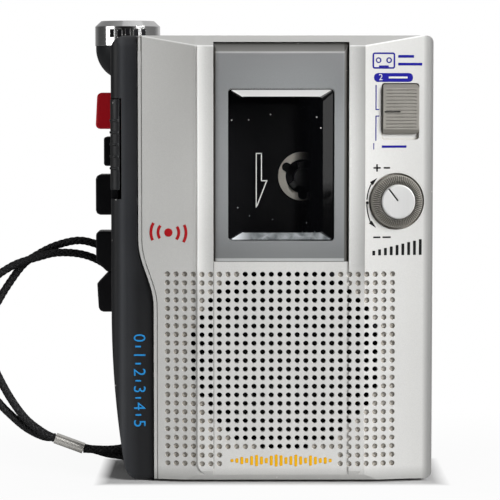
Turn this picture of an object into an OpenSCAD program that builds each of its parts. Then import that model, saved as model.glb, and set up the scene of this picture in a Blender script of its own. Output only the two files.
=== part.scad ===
// Hand-held cassette recorder, standing on its base.
// X runs to the right, Y to the back, Z up. The front faces -Y and the base lies at Z = 0.

/* [Body] */
// Width of the body without the keys
body_w = 84; // [80:0.5:90]
// Height of the body
body_h = 116.2; // [112:0.1:122]
// Depth from the rib fronts to the back
body_d = 37; // [36:0.5:40]
// Thickness of the cabinet walls
wall = 1.8; // [1.4:0.1:2.2]
// Radius of the rounded edges at the back
back_r = 3; // [2:0.5:4]
// Radius of the curve that draws in the lower left side
belly_r = 260; // [220:5:400]
// Height at which the lower left side starts to draw in
belly_z = 45.7; // [40:0.1:50]
// Radius of the lower left corner
foot_r = 4.5; // [3:0.5:5.5]
// Radius of the upper left corner
crown_r = 4; // [2.5:0.5:5]
// Radius of the corners on the right
corner_r = 2; // [1:0.5:3]
// Gap between the lid and what surrounds it
seam = 0.3; // [0.25:0.05:0.5]
// Small gap around pieces that are pushed into a seat
fit = 0.1; // [0.05:0.05:0.2]
// Gap around pieces that slide or turn
slip = 0.25; // [0.2:0.05:0.35]
// Radial clearance of a pin in its bore
pin_play = 0.05; // [0.03:0.01:0.08]

/* [Lid] */
// Depth of the lid from the rib fronts to its back edge
lid_d = 16.35; // [16:0.05:17]
// Thickness of the lid walls
lid_wall = 1.6; // [1.2:0.1:1.8]
// Height of the lid's lower edge above the table
lid_lift = 0.6; // [0.4:0.1:1]
// Tilt of the two side facets in degrees
facet_tilt = 10; // [7:0.5:12]
// Height of the bevel along the top edge
top_bevel = 3; // [2:0.25:3.5]
// Height of the bevel along the bottom edge
low_bevel = 2.4; // [1.5:0.1:3]
// Depth of the bevel along the bottom edge
low_bevel_d = 1; // [0.5:0.1:1.4]
// Sideways place of the centre strip
strip_x = 2.35; // [1:0.05:3]
// Width of the centre strip between the ribs
strip_w = 35.1; // [33:0.1:36]
// Width of each rib beside the strip
rib_w = 4.2; // [3:0.1:4.6]
// Height of the ribs above the strip
rib_rise = 0.4; // [0.2:0.05:0.6]
// Radius of the lower outer corner of each rib
rib_r = 3.4; // [2:0.2:3.8]
// Distance of the lid's left edge from the body's left side, in the upper half
edge_top = 7.2; // [6.8:0.1:8]
// The same distance in the lower half
edge_low = 11.2; // [10.6:0.1:12]
// Distance below the top where the left edge starts to swing in
swing_top = 53; // [50:0.5:56]
// Distance below the top where the left edge has swung in
swing_low = 70.5; // [68:0.5:74]
// Radius of the rounded hinge edge
hinge_r = 1.8; // [1.6:0.1:2]
// Radius of the hinge pins
hinge_pin_r = 0.7; // [0.6:0.05:0.8]
// Distance of the hinge knuckles from the two ends of the body
knuckle_end = 14.5; // [12:0.5:18]
// Length of each hinge knuckle
knuckle_h = 6; // [5:0.5:8]

/* [Grille] */
// Distance between the holes
hole_pitch = 2.25; // [2.1:0.05:2.25]
// Diameter of each hole
hole_d = 1.35; // [1.1:0.05:1.5]
// Distance of the first column from the lid's left edge
hole_in = 3.6; // [3.2:0.1:4.4]
// Least distance of the last column from the body's right side
hole_out = 10.6; // [10:0.1:14]
// Height of the lowest row
hole_z = 4.9; // [4.6:0.1:6]
// Least distance of the highest row below the window bezel
hole_gap = 2.6; // [2:0.1:6]
// Columns left bare on each side of the middle in the last two rows
bare_cols = 6; // [4:1:8]
// Depth of the holes that stay blind
dimple = 0.7; // [0.4:0.1:0.9]
// Radius of the round field of open holes
open_r = 24.7; // [20:0.1:25]
// Sideways place of the speaker
speaker_x = 3.4; // [2:0.1:4]
// Height of the speaker as a share of the height below the window bezel
speaker_share = 0.57; // [0.52:0.01:0.58]
// Radius of the speaker flange
speaker_r = 18; // [16:0.5:19]

/* [Window] */
// Distance of the window bezel below the top
bezel_top = 1.7; // [1.6:0.1:3]
// Height of the window bezel
bezel_h = 56.8; // [56:0.1:57.5]
// Radius of the bezel's rounded top
bezel_r = 2.8; // [2:0.2:3.2]
// Radius of the bezel's rounded sides
bezel_side_r = 1.4; // [0.8:0.1:1.8]
// Thickness of the bezel
bezel_t = 2.6; // [2.2:0.1:3]
// Depth of the bezel face behind the rib fronts
bezel_set = 0.25; // [0.1:0.05:0.35]
// Width of the lens
lens_w = 27.5; // [25:0.25:28.5]
// Height of the lens
lens_h = 39.4; // [37:0.2:40.5]
// Distance of the lens above the lower edge of the bezel
lens_up = 5.4; // [4.6:0.1:6.4]
// Depth of the lens's sunk field
lens_sink = 1.4; // [1:0.1:1.6]
// Width of the sloped sides of the sunk field
lens_slope_x = 3; // [2:0.1:3.4]
// Height of the sloped ends of the sunk field
lens_slope_z = 2.1; // [1.5:0.1:2.6]

/* [Lid controls] */
// Distance of the speed dial's axis from the body's right side
dial_in = 9.7; // [9.4:0.1:10]
// Distance of the speed dial's axis below the top
dial_down = 42.9; // [40:0.1:45]
// Radius of the speed dial
dial_r = 7; // [6:0.1:7]
// Height of the speed dial above the facet
dial_rise = 2.3; // [1.5:0.1:3]
// Radius of the dial's cap
cap_r = 4.45; // [3.8:0.05:4.8]
// Depth of the seats sunk into the facet
seat_sink = 1; // [0.8:0.1:1.2]
// Number of ribs around the dial
dial_ribs = 72; // [40:2:72]
// Distance of the tape switch's middle from the body's right side
switch_in = 8.8; // [8.4:0.1:9.2]
// Distance of the lower edge of the tape switch's seat below the top
switch_down = 26.9; // [26:0.1:28]
// Width of the tape switch's seat
switch_w = 10; // [8:0.25:10.5]
// Height of the tape switch's seat
switch_h = 14.6; // [12:0.2:15]
// Travel of the tape switch
switch_travel = 1.3; // [1:0.1:1.6]
// Height of the tape switch knob above the facet
switch_rise = 1; // [0.6:0.1:1.6]

/* [Keys] */
// Distance of the keys behind the deck plate
key_set = 1.4; // [1.2:0.1:2]
// Distance of the highest key below the top
key_down = 14.8; // [14:0.1:16]
// Width of the keys from front to back
key_w = 8; // [6.5:0.25:8.5]
// Reach of the keys inside the cabinet wall
key_reach = 6; // [5:0.25:6.5]
// How far the long keys stand out
key_out = 4.2; // [3.5:0.1:4.6]
// How far the stop key stands out
stop_out = 1.9; // [1.4:0.1:2.4]
// Distance of the pause slider's lower end below the top
pause_down = 40; // [38.5:0.25:42]
// Length of the pause slider
pause_h = 23.5; // [20:0.5:24]
// Travel of the pause slider
pause_travel = 2.2; // [1.5:0.1:2.6]
// Width of the pause slider across the corner
pause_w = 2.6; // [2.2:0.1:3]

/* [Microphone] */
// Distance of the microphone's axis from the body's left side
mic_in = 3.5; // [2.5:0.1:4.5]
// Radius of the microphone cap as a share of the cabinet's depth
mic_share = 0.4275; // [0.4:0.0025:0.435]
// Height of the microphone cap
mic_cap_h = 6.6; // [5.5:0.1:7.5]
// Distance of the cap's lower edge below the top of the body
mic_down = 2.3; // [1.6:0.1:2.8]
// Thickness of the cap's shell
mic_shell = 0.8; // [0.6:0.1:1]

/* [Tape deck] */
// Distance of the two reel spindles from the capstan, sideways
reel_far = 28.3; // [28:0.1:28.6]
// Distance of the middle between the spindles below the body's middle
reel_down = 0.15; // [0:0.05:0.8]
// Distance between the spindles
reel_gap = 42.5; // [42.4:0.05:42.6]
// Distance of the deck plate behind the lid's back edge
deck_set = 3.35; // [3.25:0.05:3.5]
// Thickness of the deck plate
deck_t = 1; // [0.8:0.1:1.2]
// Thickness of a cassette with its bay's clearance
bay_d = 12; // [11.8:0.1:12.2]
// Distance of the capstan from the body's left side
capstan_in = 22; // [21.5:0.1:22.5]
// Distance of the capstan below the middle of the bay
capstan_drop = 25.5; // [25:0.1:26]
// Radius of the capstan
capstan_r = 1; // [0.8:0.05:1.2]
// Radius of the flywheel
flywheel_r = 10.2; // [9:0.1:10.4]
// Radius of the pinch roller
pinch_r = 5; // [4.5:0.1:5.2]
// Travel of the head carriage
head_travel = 3.5; // [2.5:0.1:3.6]
// Radius of the motor as a share of the room right of the reels
motor_share = 0.345; // [0.3:0.005:0.355]
// Distance of the motor below the take-up spindle
motor_down = 16.7; // [16:0.1:18]

/* [Power and sound] */
// Distance of the battery bay's left side from the body's right side
bay_w = 31.2; // [30.8:0.1:31.4]
// Distance of the battery bay's floor below the top
bay_h = 57.6; // [57:0.1:58.5]
// Thickness of the battery door
door_t = 1.5; // [1.2:0.1:1.7]
// Radius of the battery door's hinge edge
door_r = 1.2; // [1:0.05:1.3]
// Radius of the battery door's pins
door_pin_r = 0.6; // [0.5:0.05:0.7]
// Radius of the jack sockets
jack_r = 1.8; // [1.7:0.05:1.9]
// Distance between the jack sockets
jack_gap = 10; // [9:0.5:11]
// Radius of the volume wheel as a share of the room behind the deck plate
volume_share = 0.439; // [0.38:0.001:0.445]
// Distance of the volume wheel below the battery bay's floor
volume_down = 12.9; // [11:0.1:16]
// Thickness of the volume wheel
volume_t = 3; // [2.5:0.25:4]
// How far the volume wheel stands out
volume_out = 1.2; // [0.8:0.1:1.4]

/* [Strap] */
// Diameter of the strap's cord
cord_d = 2; // [1.6:0.1:2]
// Thickness of the flattened metal crimp
crimp_t = 2.6; // [2.4:0.1:3]
// Radius of the pin that holds the strap
strap_pin_r = 0.9; // [0.7:0.05:0.95]

/* [Hidden] */
$fn = 64;
// Amount by which cutters pass the faces that they cut
cut = 1;
xl = -body_w / 2;
xr = body_w / 2;
y_front = -body_d / 2;
y_back = body_d / 2;
lid_back_y = y_front + lid_d;
cab_y = lid_back_y + seam;
cab_d = y_back - cab_y;
back_in_y = y_back - door_t;
strip_y = y_front + rib_rise;
strip_l = strip_x - strip_w / 2;
strip_r = strip_x + strip_w / 2;
facet_l = strip_l - rib_w;
facet_r = strip_r + rib_w;
facet_slope = tan(facet_tilt);
skin = lid_wall / cos(facet_tilt);
lid_in_y = strip_y + skin;
edge_top_x = xl + edge_top;
edge_low_x = xl + edge_low;
swing_top_z = body_h - swing_top;
swing_low_z = body_h - swing_low;
knuckle_low_z = knuckle_end;
knuckle_top_z = body_h - knuckle_end;
bezel_top_z = body_h - bezel_top;
bezel_z = bezel_top_z - bezel_h;
lens_z = bezel_z + lens_up;
hole_x = edge_low_x + hole_in;
hole_cols = floor((xr - hole_out - hole_x) / hole_pitch) + 1;
hole_rows = floor((bezel_z - hole_gap - hole_z) / hole_pitch) + 1;
speaker_z = bezel_z * speaker_share;
dial_x = xr - dial_in;
dial_z = body_h - dial_down;
switch_x = xr - switch_in;
switch_z = body_h - switch_down;
lip_w = 1;
lip_set = 0.15;
hinge_x = xr - hinge_r;
hinge_y = lid_back_y - hinge_r;
// Front of the dark panel, a little behind the lid's left lip
panel_y = strip_y + (facet_l - edge_top_x) * facet_slope + 0.4;
panel_r = 2.8;
panel_lip = 1.2;
deck_y = lid_back_y + deck_set;
bay_front_y = deck_y - 0.2 - bay_d;
inner_t = 1;
inner_y = bay_front_y - 0.2 - inner_t;
deck_back_y = deck_y + deck_t;
capstan_x = xl + capstan_in;
reel_x = capstan_x + reel_far;
reel_mid_z = body_h / 2 - reel_down;
supply_z = reel_mid_z + reel_gap / 2;
takeup_z = reel_mid_z - reel_gap / 2;
capstan_z = reel_mid_z - capstan_drop;
reel_room = xr - wall - reel_x;
motor_r = reel_room * motor_share;
motor_x = reel_x + reel_room * 0.492;
motor_z = takeup_z - motor_down;
bay_x = xr - bay_w;
bay_z = body_h - bay_h;
// Middle of the room behind the deck plate
room_y = (deck_back_y + back_in_y) / 2;
room_d = back_in_y - deck_back_y;
tape_y = deck_y - 0.2 - bay_d / 2;
key_in_x = xl + wall + key_reach;
key_y = deck_back_y + key_set;
key_end_y = key_y + key_w;
key_top_z = body_h - key_down;
pause_z = body_h - pause_down;
volume_r = room_d * volume_share;
volume_x = xr + volume_out - volume_r;
volume_y = room_y - 0.6;
volume_z = bay_z - volume_down;
// Half the length of the slot that the volume wheel shows through
volume_slot = sqrt(pow(volume_r, 2) - pow(xr - wall - volume_x, 2)) + slip;
mic_r = cab_d * mic_share;
mic_x = xl + mic_in;
mic_y = cab_y + cab_d * 0.484;
mic_seam_z = body_h - mic_down;
mic_ball_z = mic_seam_z - 0.8;
mic_house_r = mic_r - 0.2;
// Keys: lower end, upper end, how far they stand out, lower and upper bevel as [depth, height]
function key_span(down, h) = [key_top_z - down - h, key_top_z - down];
REC = concat(key_span(0, 9.7), [key_out, [0.8, 0.8], [0.8, 0.8]]);
STOP = concat(key_span(11.8, 7.8), [stop_out, [0.5, 0.5], [0.5, 0.5]]);
PLAY = concat(key_span(21.9, 10.8), [key_out, [0.8, 0.8], [0.8, 0.8]]);
FWD = concat(key_span(37.1, 10.85), [key_out, [2.4, 2.6], [0.9, 1]]);
REW = concat(key_span(48.25, 10.55), [key_out - 0.3, [1.4, 1.4], [2.1, 2.4]]);
KEYS = [REC, STOP, PLAY, FWD, REW];
// Bosses that carry the deck plate and take the case screws
BOSSES = [
    [xl + 15.5, body_h - 9.5], [bay_x - 5.4, body_h - 8.5], [xr - 6, bay_z - 6.9],
    [xr - 6, 6.6], [xl + 15, 9]
];
boss_r = 2.8;
screw_r = 1.1;
screw_head_r = 2.1;
screw_head_h = 1.2;
screw_sink = 1.8;
// Circuit board and the posts that carry it
board_x0 = xl + 17;
board_x1 = bay_x - 3.8;
board_z0 = bay_z + 2.4;
board_z1 = body_h - 15.2;
board_y = back_in_y - 3.8;
board_t = 1.2;
POSTS = [for (x = [board_x0 + 3, board_x1 - 3], z = [board_z0 + 4, board_z1 - 4]) [x, z]];
post_r = 1.8;
post_hole_r = 0.8;
// Layers of the drive behind the deck plate
fly_y = deck_back_y + 0.9;
fly_t = 3.6;
gear_y = fly_y + fly_t + 0.7;
gear_t = 1.5;
hub_r = 4;
idler_gap = 0.3;
idler_r = 7.4;
idler_pin_r = 1;
idler_turn = atan2(takeup_z - capstan_z, reel_x - capstan_x);
idler_x = capstan_x + (hub_r + idler_gap + idler_r) * cos(idler_turn);
idler_z = capstan_z + (hub_r + idler_gap + idler_r) * sin(idler_turn);
idler_far = norm([reel_x - idler_x, takeup_z - idler_z]);
takeup_gear_r = idler_far - idler_r - idler_gap;
pulley_r = 3;
belt_t = 0.9;
belt_gap = 0.3;
belt_w = 1.8;
shaft_r = 1.5;
clip_r = 2.2;
clip_t = 1;
reel_ring_r = 6.5;
reel_lobe_r = 3.9;
reel_len = 8.5;
// Head carriage
plate_t = 1.1;
plate_y = deck_y - slip - plate_t;
plate_x0 = capstan_x - 17;
plate_x1 = capstan_x - 7;
plate_z0 = capstan_z - 7;
plate_z1 = reel_mid_z + 24;
head_x = capstan_x - 6.9;
pinch_x = capstan_x - capstan_r - pinch_r - 0.3 - head_travel;
pinch_pin_r = 1;
guide_r = 1.2;
GUIDES = [[plate_x0 + 6.2, capstan_z + 11], [plate_x0 + 6.2, reel_mid_z + 19]];
// Strap: routes of the tail loop and of the hand loop, chosen by hand
// for a body whose left side lies at strap_ref
strap_ref = -42;
strap_x = xl + 6.4;
strap_y = cab_y + 4.35;
strap_z = 4.9;
pocket_x = strap_x + 3.4;
pocket_y = 3;
pocket_z = 3.4;
pocket_wall = 1.6;
pocket_end = [pocket_x, strap_y + pocket_y, strap_z + pocket_z];
strap_pin_l = 7.4;
// Half the distance between the two strands inside the crimp
strand = 1.05;
crimp_at = [-50.5, 2.5, 5.8];
crimp_to = [-58.1, 2.5, 8.6];
// The tail moves with its pin, and the hand loop also keeps clear of the back
strap_shift = [xl - strap_ref, strap_y - crimp_at[1], 0];
loop_share = (y_back + 1.3 - strap_y) / 17.3;
TAIL = [
    [-50.5, 1.45, 5.8], [-47.5, 1.5, 5.8], [-44, 1.6, 6], [-40.5, 2.1, 6.5], [-37, 2.5, 6.9],
    [-35.6, 2.5, 6.9], [-34.2, 2.5, 6.3], [-33.6, 2.5, 4.9], [-34.2, 2.5, 3.5], [-35.6, 2.5, 2.9],
    [-37, 2.5, 2.9], [-40.5, 2.8, 3.4], [-44, 3.4, 4.2], [-47.5, 3.5, 5.2], [-50.5, 3.55, 5.8]
];
HAND = [
    [-58.1, 1.45, 8.6], [-61.5, 1.9, 10.3], [-66, 2.8, 13.7], [-70, 4.2, 18.7], [-73.6, 6, 24.7],
    [-76.2, 8, 30.2], [-77, 10, 35.7], [-76, 12, 41.2], [-74, 13.5, 45.2], [-71.8, 14.8, 48.9],
    [-67.8, 15.6, 54.3], [-63.6, 16, 57.3], [-58.6, 16.2, 59.7], [-52.8, 16.4, 61],
    [-48.2, 17.4, 60.1], [-44.6, 19, 58.1], [-40, 19.8, 55.1], [-33, 19.8, 50.1], [-26, 19.8, 44.3],
    [-20, 19.8, 38.7], [-16.4, 19.8, 34.1], [-15.6, 19.8, 29.3], [-18.6, 19.8, 26.1],
    [-23, 19.8, 27.1], [-27, 19.8, 31.7], [-32, 19.8, 38.3], [-36.4, 19.8, 44.1], [-40, 19.8, 48.7],
    [-44.4, 18.6, 52.3], [-48.4, 16.2, 55.1], [-53, 14.6, 56.9], [-58.6, 13.6, 57.4],
    [-63.6, 13.4, 56.6], [-68.6, 13.3, 55.1], [-71.8, 13.2, 53.5], [-74.2, 13, 51.9],
    [-77.6, 12.4, 49.3], [-80.6, 11.6, 45.3], [-82.6, 10.4, 38.7], [-82, 9, 31.7], [-79, 7.4, 24.7],
    [-73.8, 5.8, 18], [-70, 4.8, 14.3], [-66, 4, 11.1], [-61.5, 3.6, 8.9], [-58.1, 3.55, 8.6]
];

// Plain box between two corners
module span(a, b) {
    translate(a)
        cube(b - a);
}

// Upright, sideways and front-to-back cylinders
module rod_z(x, y, z0, z1, r) {
    translate([x, y, z0])
        cylinder(h = z1 - z0, r = r);
}
module rod_x(y, z, x0, x1, r) {
    translate([x0, y, z])
        rotate([0, 90, 0])
            cylinder(h = x1 - x0, r = r);
}
module rod_y(x, z, y0, y1, r) {
    translate([x, y1, z])
        rotate([90, 0, 0])
            cylinder(h = y1 - y0, r = r);
}

// Outlines drawn in X and Z, pushed from y0 to y1
module along_y(y0, y1) {
    translate([0, y1, 0])
        rotate([90, 0, 0])
            linear_extrude(y1 - y0)
                children();
}
// Outlines drawn in Y and Z, pushed from x0 to x1
module along_x(x0, x1) {
    translate([x0, 0, 0])
        rotate([90, 0, 90])
            linear_extrude(x1 - x0)
                children();
}
// Outlines drawn in X and Y, pushed from z0 to z1
module along_z(z0, z1) {
    translate([0, 0, z0])
        linear_extrude(z1 - z0)
            children();
}

// What a round of radius r takes off a square corner that points along sx and sy
module corner_off(x, y, r, sx, sy) {
    difference() {
        translate([x - (sx > 0 ? r : cut), y - (sy > 0 ? r : cut)])
            square(r + cut);
        translate([x - sx * r, y - sy * r])
            circle(r);
    }
}

// Rectangle from a to b with corner radius r
module round_rect(a, b, r) {
    difference() {
        translate(a)
            square(b - a);
        corner_off(a[0], a[1], r, -1, -1);
        corner_off(b[0], a[1], r, 1, -1);
        corner_off(a[0], b[1], r, -1, 1);
        corner_off(b[0], b[1], r, 1, 1);
    }
}

// Front outline of the whole body, drawn in by e on every side
module body_outline(e) {
    belly_x = xl + belly_r;
    low_r = max(foot_r - e, 1);
    low_x = belly_x - sqrt(pow(belly_r - e - low_r, 2) - pow(belly_z - e - low_r, 2));
    low_z = e + low_r + low_r * (e + low_r - belly_z) / (belly_r - e - low_r);
    difference() {
        union() {
            translate([xl + e, belly_z])
                square([body_w - 2 * e, body_h - e - belly_z]);
            intersection() {
                translate([xl + e, e])
                    square([body_w - 2 * e, belly_z - e]);
                translate([belly_x, belly_z])
                    circle(belly_r - e, $fn = 180);
            }
        }
        difference() {
            translate([xl - cut, e - cut])
                square([low_x - xl + cut, low_z - e + cut]);
            translate([low_x, e + low_r])
                circle(low_r);
        }
        corner_off(xl + e, body_h - e, max(crown_r - e, 1), -1, 1);
        corner_off(xr - e, body_h - e, max(corner_r - e, 0.4), 1, 1);
        corner_off(xr - e, e, max(corner_r - e, 0.4), 1, -1);
    }
}

// Left edge of the lid at a height
function edge_share(z) = z > swing_top_z ? 1
    : z < swing_low_z ? 0
    : (1 - cos(180 * (z - swing_low_z) / (swing_top_z - swing_low_z))) / 2;
function edge_x(z) = edge_low_x + (edge_top_x - edge_low_x) * edge_share(z);
swing_steps = 14;
SWING = [for (i = [0:swing_steps]) swing_low_z + (swing_top_z - swing_low_z) * i / swing_steps];

// Everything to the left of the lid's left edge, moved by e
module left_of_edge(e) {
    polygon(concat(
        [[xl - 20, -20], [edge_low_x + e, -20]],
        [for (z = SWING) [edge_x(z) + e, z]],
        [[edge_top_x + e, body_h + 20], [xl - 20, body_h + 20]]
    ));
}

// Front outline of the lid, drawn in by e
module lid_outline(e) {
    difference() {
        translate([edge_top_x - cut, lid_lift + e])
            square([xr - e - edge_top_x + cut, body_h - e - lid_lift - e]);
        left_of_edge(e);
        corner_off(xr - e, body_h - e, max(corner_r - e, 0.4), 1, 1);
        corner_off(xr - e, lid_lift + e, max(corner_r - e, 0.4), 1, -1);
    }
}

// Front surface of the lid at a sideways place, without the ribs
function face_y(x) = strip_y
    + (x < facet_l ? (facet_l - x) * facet_slope : x > facet_r ? (x - facet_r) * facet_slope : 0);

// Section of the lid seen from above: flat middle, two facets, round right edge and hinge edge
module lid_section() {
    turn = corner_r;
    along = (xr - turn - facet_r + turn * sin(facet_tilt)) / cos(facet_tilt);
    arc_y = strip_y + along * sin(facet_tilt) + turn * cos(facet_tilt);
    touch = [facet_r + along * cos(facet_tilt), strip_y + along * sin(facet_tilt)];
    union() {
        polygon([
            [edge_top_x - cut, lid_back_y], [edge_top_x - cut, face_y(edge_top_x - cut)],
            [facet_l, strip_y], [facet_r, strip_y], touch, [xr - turn, arc_y],
            [xr, arc_y], [xr, hinge_y], [hinge_x, hinge_y], [hinge_x, lid_back_y]
        ]);
        translate([xr - turn, arc_y])
            circle(turn);
        translate([hinge_x, hinge_y])
            circle(hinge_r);
    }
}

// Side section that gives the lid its bevels at the top and bottom, with its front at y
module bevel_section(y) {
    polygon([
        [y, lid_lift + low_bevel], [y + low_bevel_d, lid_lift], [lid_back_y + cut, lid_lift],
        [lid_back_y + cut, body_h], [y + top_bevel, body_h], [y, body_h - top_bevel]
    ]);
}

// Outer solid of the lid with its two ribs
module lid_solid() {
    intersection() {
        union() {
            along_z(lid_lift, body_h)
                lid_section();
            for (side = [0, 1])
                rib(side);
        }
        along_y(y_front - cut, lid_back_y + cut)
            lid_outline(0);
        along_x(edge_top_x - cut, xr + cut)
            bevel_section(y_front);
    }
}

// One raised rib, with its lower outer corner rounded
module rib(side) {
    x0 = side == 0 ? facet_l : strip_r;
    x1 = x0 + rib_w;
    foot = lid_lift + 1.2;
    along_y(y_front, strip_y + lid_wall / 2)
        difference() {
            translate([x0, foot])
                square([rib_w, body_h - foot]);
            corner_off(side == 0 ? x0 : x1, foot, rib_r, side == 0 ? -1 : 1, -1);
        }
}

// Space inside the lid's front wall and rim
module lid_hollow() {
    intersection() {
        along_z(lid_lift, body_h)
            polygon([
                [edge_top_x - cut, lid_back_y + cut],
                [edge_top_x - cut, face_y(edge_top_x - cut) + skin],
                [facet_l, lid_in_y], [facet_r, lid_in_y],
                [xr, face_y(xr) + skin], [xr, lid_back_y + cut]
            ]);
        along_y(y_front, lid_back_y + cut)
            lid_outline(lid_wall);
        along_x(edge_top_x - cut, xr + cut)
            translate([skin, 0])
                bevel_section(strip_y);
    }
}

// The facet's own frame at a sideways place and height: +Z points out of the facet
module on_facet(x, z) {
    translate([x, face_y(x), z])
        rotate([90, 0, facet_tilt])
            children();
}

// True where the hole of a column and row lies over the speaker
function is_open(x, z) = norm([x - speaker_x, z - speaker_z]) <= open_r;
function is_bare(c, r) = r < 2 && abs(c - (hole_cols - 1) / 2) <= bare_cols;

// Holes of the grille, straight through or blind
module grille_holes() {
    for (c = [0:hole_cols - 1], r = [0:hole_rows - 1]) {
        x = hole_x + c * hole_pitch;
        z = hole_z + r * hole_pitch;
        on_rib = (x > facet_l && x < strip_l) || (x > strip_r && x < facet_r);
        front = on_rib ? y_front : face_y(x);
        depth = is_open(x, z) ? lid_wall + rib_rise + cut : dimple;
        if (!is_bare(c, r))
            rod_y(x, z, front - cut, front + depth, hole_d / 2);
    }
}

boss_t = 0.8;
// Depth of the back of the seats' bosses below the facet
seat_low = lid_wall + boss_t;
control_t = 0.9;
control_r = 5;
dial_seat_r = dial_r + slip + 0.1;

// Zone of the front panel: as deep as its skin, and down over the whole top bevel
module front_zone() {
    along_z(lid_lift - cut, body_h + cut)
        polygon([
            [edge_top_x - cut, y_front - cut], [edge_top_x - cut, face_y(edge_top_x - cut) + skin],
            [facet_l, lid_in_y], [facet_r, lid_in_y], [xr + cut, face_y(xr + cut) + skin],
            [xr + cut, y_front - cut]
        ]);
    span([edge_top_x - cut, y_front - cut, body_h - top_bevel - cut],
        [xr + cut, y_front + top_bevel + 0.6, body_h + cut]);
}

module lid_front() {
    color("silver")
        difference() {
            union() {
                difference() {
                    intersection() {
                        lid_solid();
                        front_zone();
                    }
                    lid_hollow();
                    along_y(y_front - cut, lid_back_y)
                        left_of_edge(lip_w);
                }
                on_facet(dial_x, dial_z)
                    translate([0, 0, -seat_low])
                        cylinder(h = boss_t + lid_wall / 2, r = dial_seat_r + 0.6);
                on_facet(switch_x, switch_z + switch_h / 2)
                    translate([-switch_w / 2 - 0.8, -switch_h / 2 - 0.8, -seat_low])
                        cube([switch_w + 1.6, switch_h + 1.6, boss_t + lid_wall / 2]);
            }
            span([strip_l, y_front - cut, bezel_z], [strip_r, lid_in_y + cut, bezel_top_z]);
            on_facet(dial_x, dial_z) {
                translate([0, 0, -seat_sink])
                    cylinder(h = seat_sink + cut, r = dial_seat_r);
                translate([0, 0, -seat_low - cut])
                    cylinder(h = seat_low + cut, r = shaft_r + pin_play);
            }
            on_facet(switch_x, switch_z + switch_h / 2) {
                translate([0, 0, -seat_sink])
                    linear_extrude(seat_sink + cut)
                        round_rect([-switch_w / 2, -switch_h / 2], [switch_w / 2, switch_h / 2], 0.8);
                translate([-switch_w / 4 - slip, -switch_h / 4 - switch_travel - slip, -seat_low - cut])
                    cube([switch_w / 2 + 2 * slip, switch_h / 2 + switch_travel + slip, seat_low + cut]);
            }
            grille_holes();
        }
}

module lid_frame() {
    color("silver")
        difference() {
            union() {
                difference() {
                    lid_solid();
                    lid_hollow();
                    front_zone();
                    // The left rim is low, so that it passes the tape heads
                    span([edge_top_x - cut, inner_y + inner_t, lid_lift + lid_wall],
                        [edge_low_x + lid_wall + cut, lid_back_y + cut, body_h - lid_wall]);
                }
                // Lip that shows along the left edge of the front panel
                intersection() {
                    lid_solid();
                    along_y(y_front - cut, inner_y + inner_t)
                        left_of_edge(lip_w - fit);
                    along_z(lid_lift, body_h)
                        polygon([
                            [edge_top_x - cut, face_y(edge_top_x - cut) + lip_set],
                            [facet_l, strip_y + lip_set],
                            [facet_l, inner_y + inner_t], [edge_top_x - cut, inner_y + inner_t]
                        ]);
                    span([edge_top_x - cut, y_front - cut, lid_lift],
                        [facet_l, inner_y + inner_t, body_h - top_bevel - cut]);
                }
                // The rounded hinge edge, inside the right wall
                rod_z(hinge_x, hinge_y, lid_lift + lid_wall / 2, body_h - lid_wall / 2, hinge_r);
            }
            for (z = [knuckle_low_z, knuckle_top_z]) {
                span([hinge_x - hinge_r - 2, hinge_y - hinge_r - seam - 0.1, z - knuckle_h / 2 - seam],
                    [xr + cut, lid_back_y + cut, z + knuckle_h / 2 + seam]);
                hinge_pin(z);
            }
        }
}

pin_len = 3;

// Pin through the hinge knuckle at height z
module hinge_pin(z) {
    end = knuckle_h / 2 + pin_len;
    rod_z(hinge_x, hinge_y, z - end, z + end, hinge_pin_r);
}

module hinge_pins() {
    color("gainsboro")
        for (z = [knuckle_low_z, knuckle_top_z])
            hinge_pin(z);
}

module lid_inner_panel() {
    color("dimgray")
        difference() {
            along_y(inner_y, inner_y + inner_t)
                lid_outline(lid_wall + fit);
            span([lens_x0, inner_y - cut, lens_z],
                [lens_x0 + lens_w, inner_y + inner_t + cut, lens_z + lens_h]);
            rod_y(speaker_x, speaker_z, inner_y - cut, inner_y + inner_t + cut, magnet_r + 0.3);
            control_room(fit);
        }
}

lens_x0 = strip_x - lens_w / 2;
bezel_y = y_front + bezel_set;

module window_bezel() {
    color("slategray")
        difference() {
            intersection() {
                along_x(strip_l + fit, strip_r - fit)
                    difference() {
                        translate([bezel_y, bezel_z + fit])
                            square([bezel_t, bezel_top_z - bezel_z - 2 * fit]);
                        corner_off(bezel_y, bezel_top_z - fit, bezel_r, -1, 1);
                    }
                along_z(bezel_z, bezel_top_z)
                    difference() {
                        translate([strip_l + fit, bezel_y])
                            square([strip_w - 2 * fit, bezel_t]);
                        corner_off(strip_l + fit, bezel_y, bezel_side_r, -1, -1);
                        corner_off(strip_r - fit, bezel_y, bezel_side_r, 1, -1);
                    }
            }
            along_y(bezel_y - cut, bezel_y + bezel_t + cut)
                round_rect([lens_x0, lens_z], [lens_x0 + lens_w, lens_z + lens_h], 0.9);
        }
}

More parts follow.
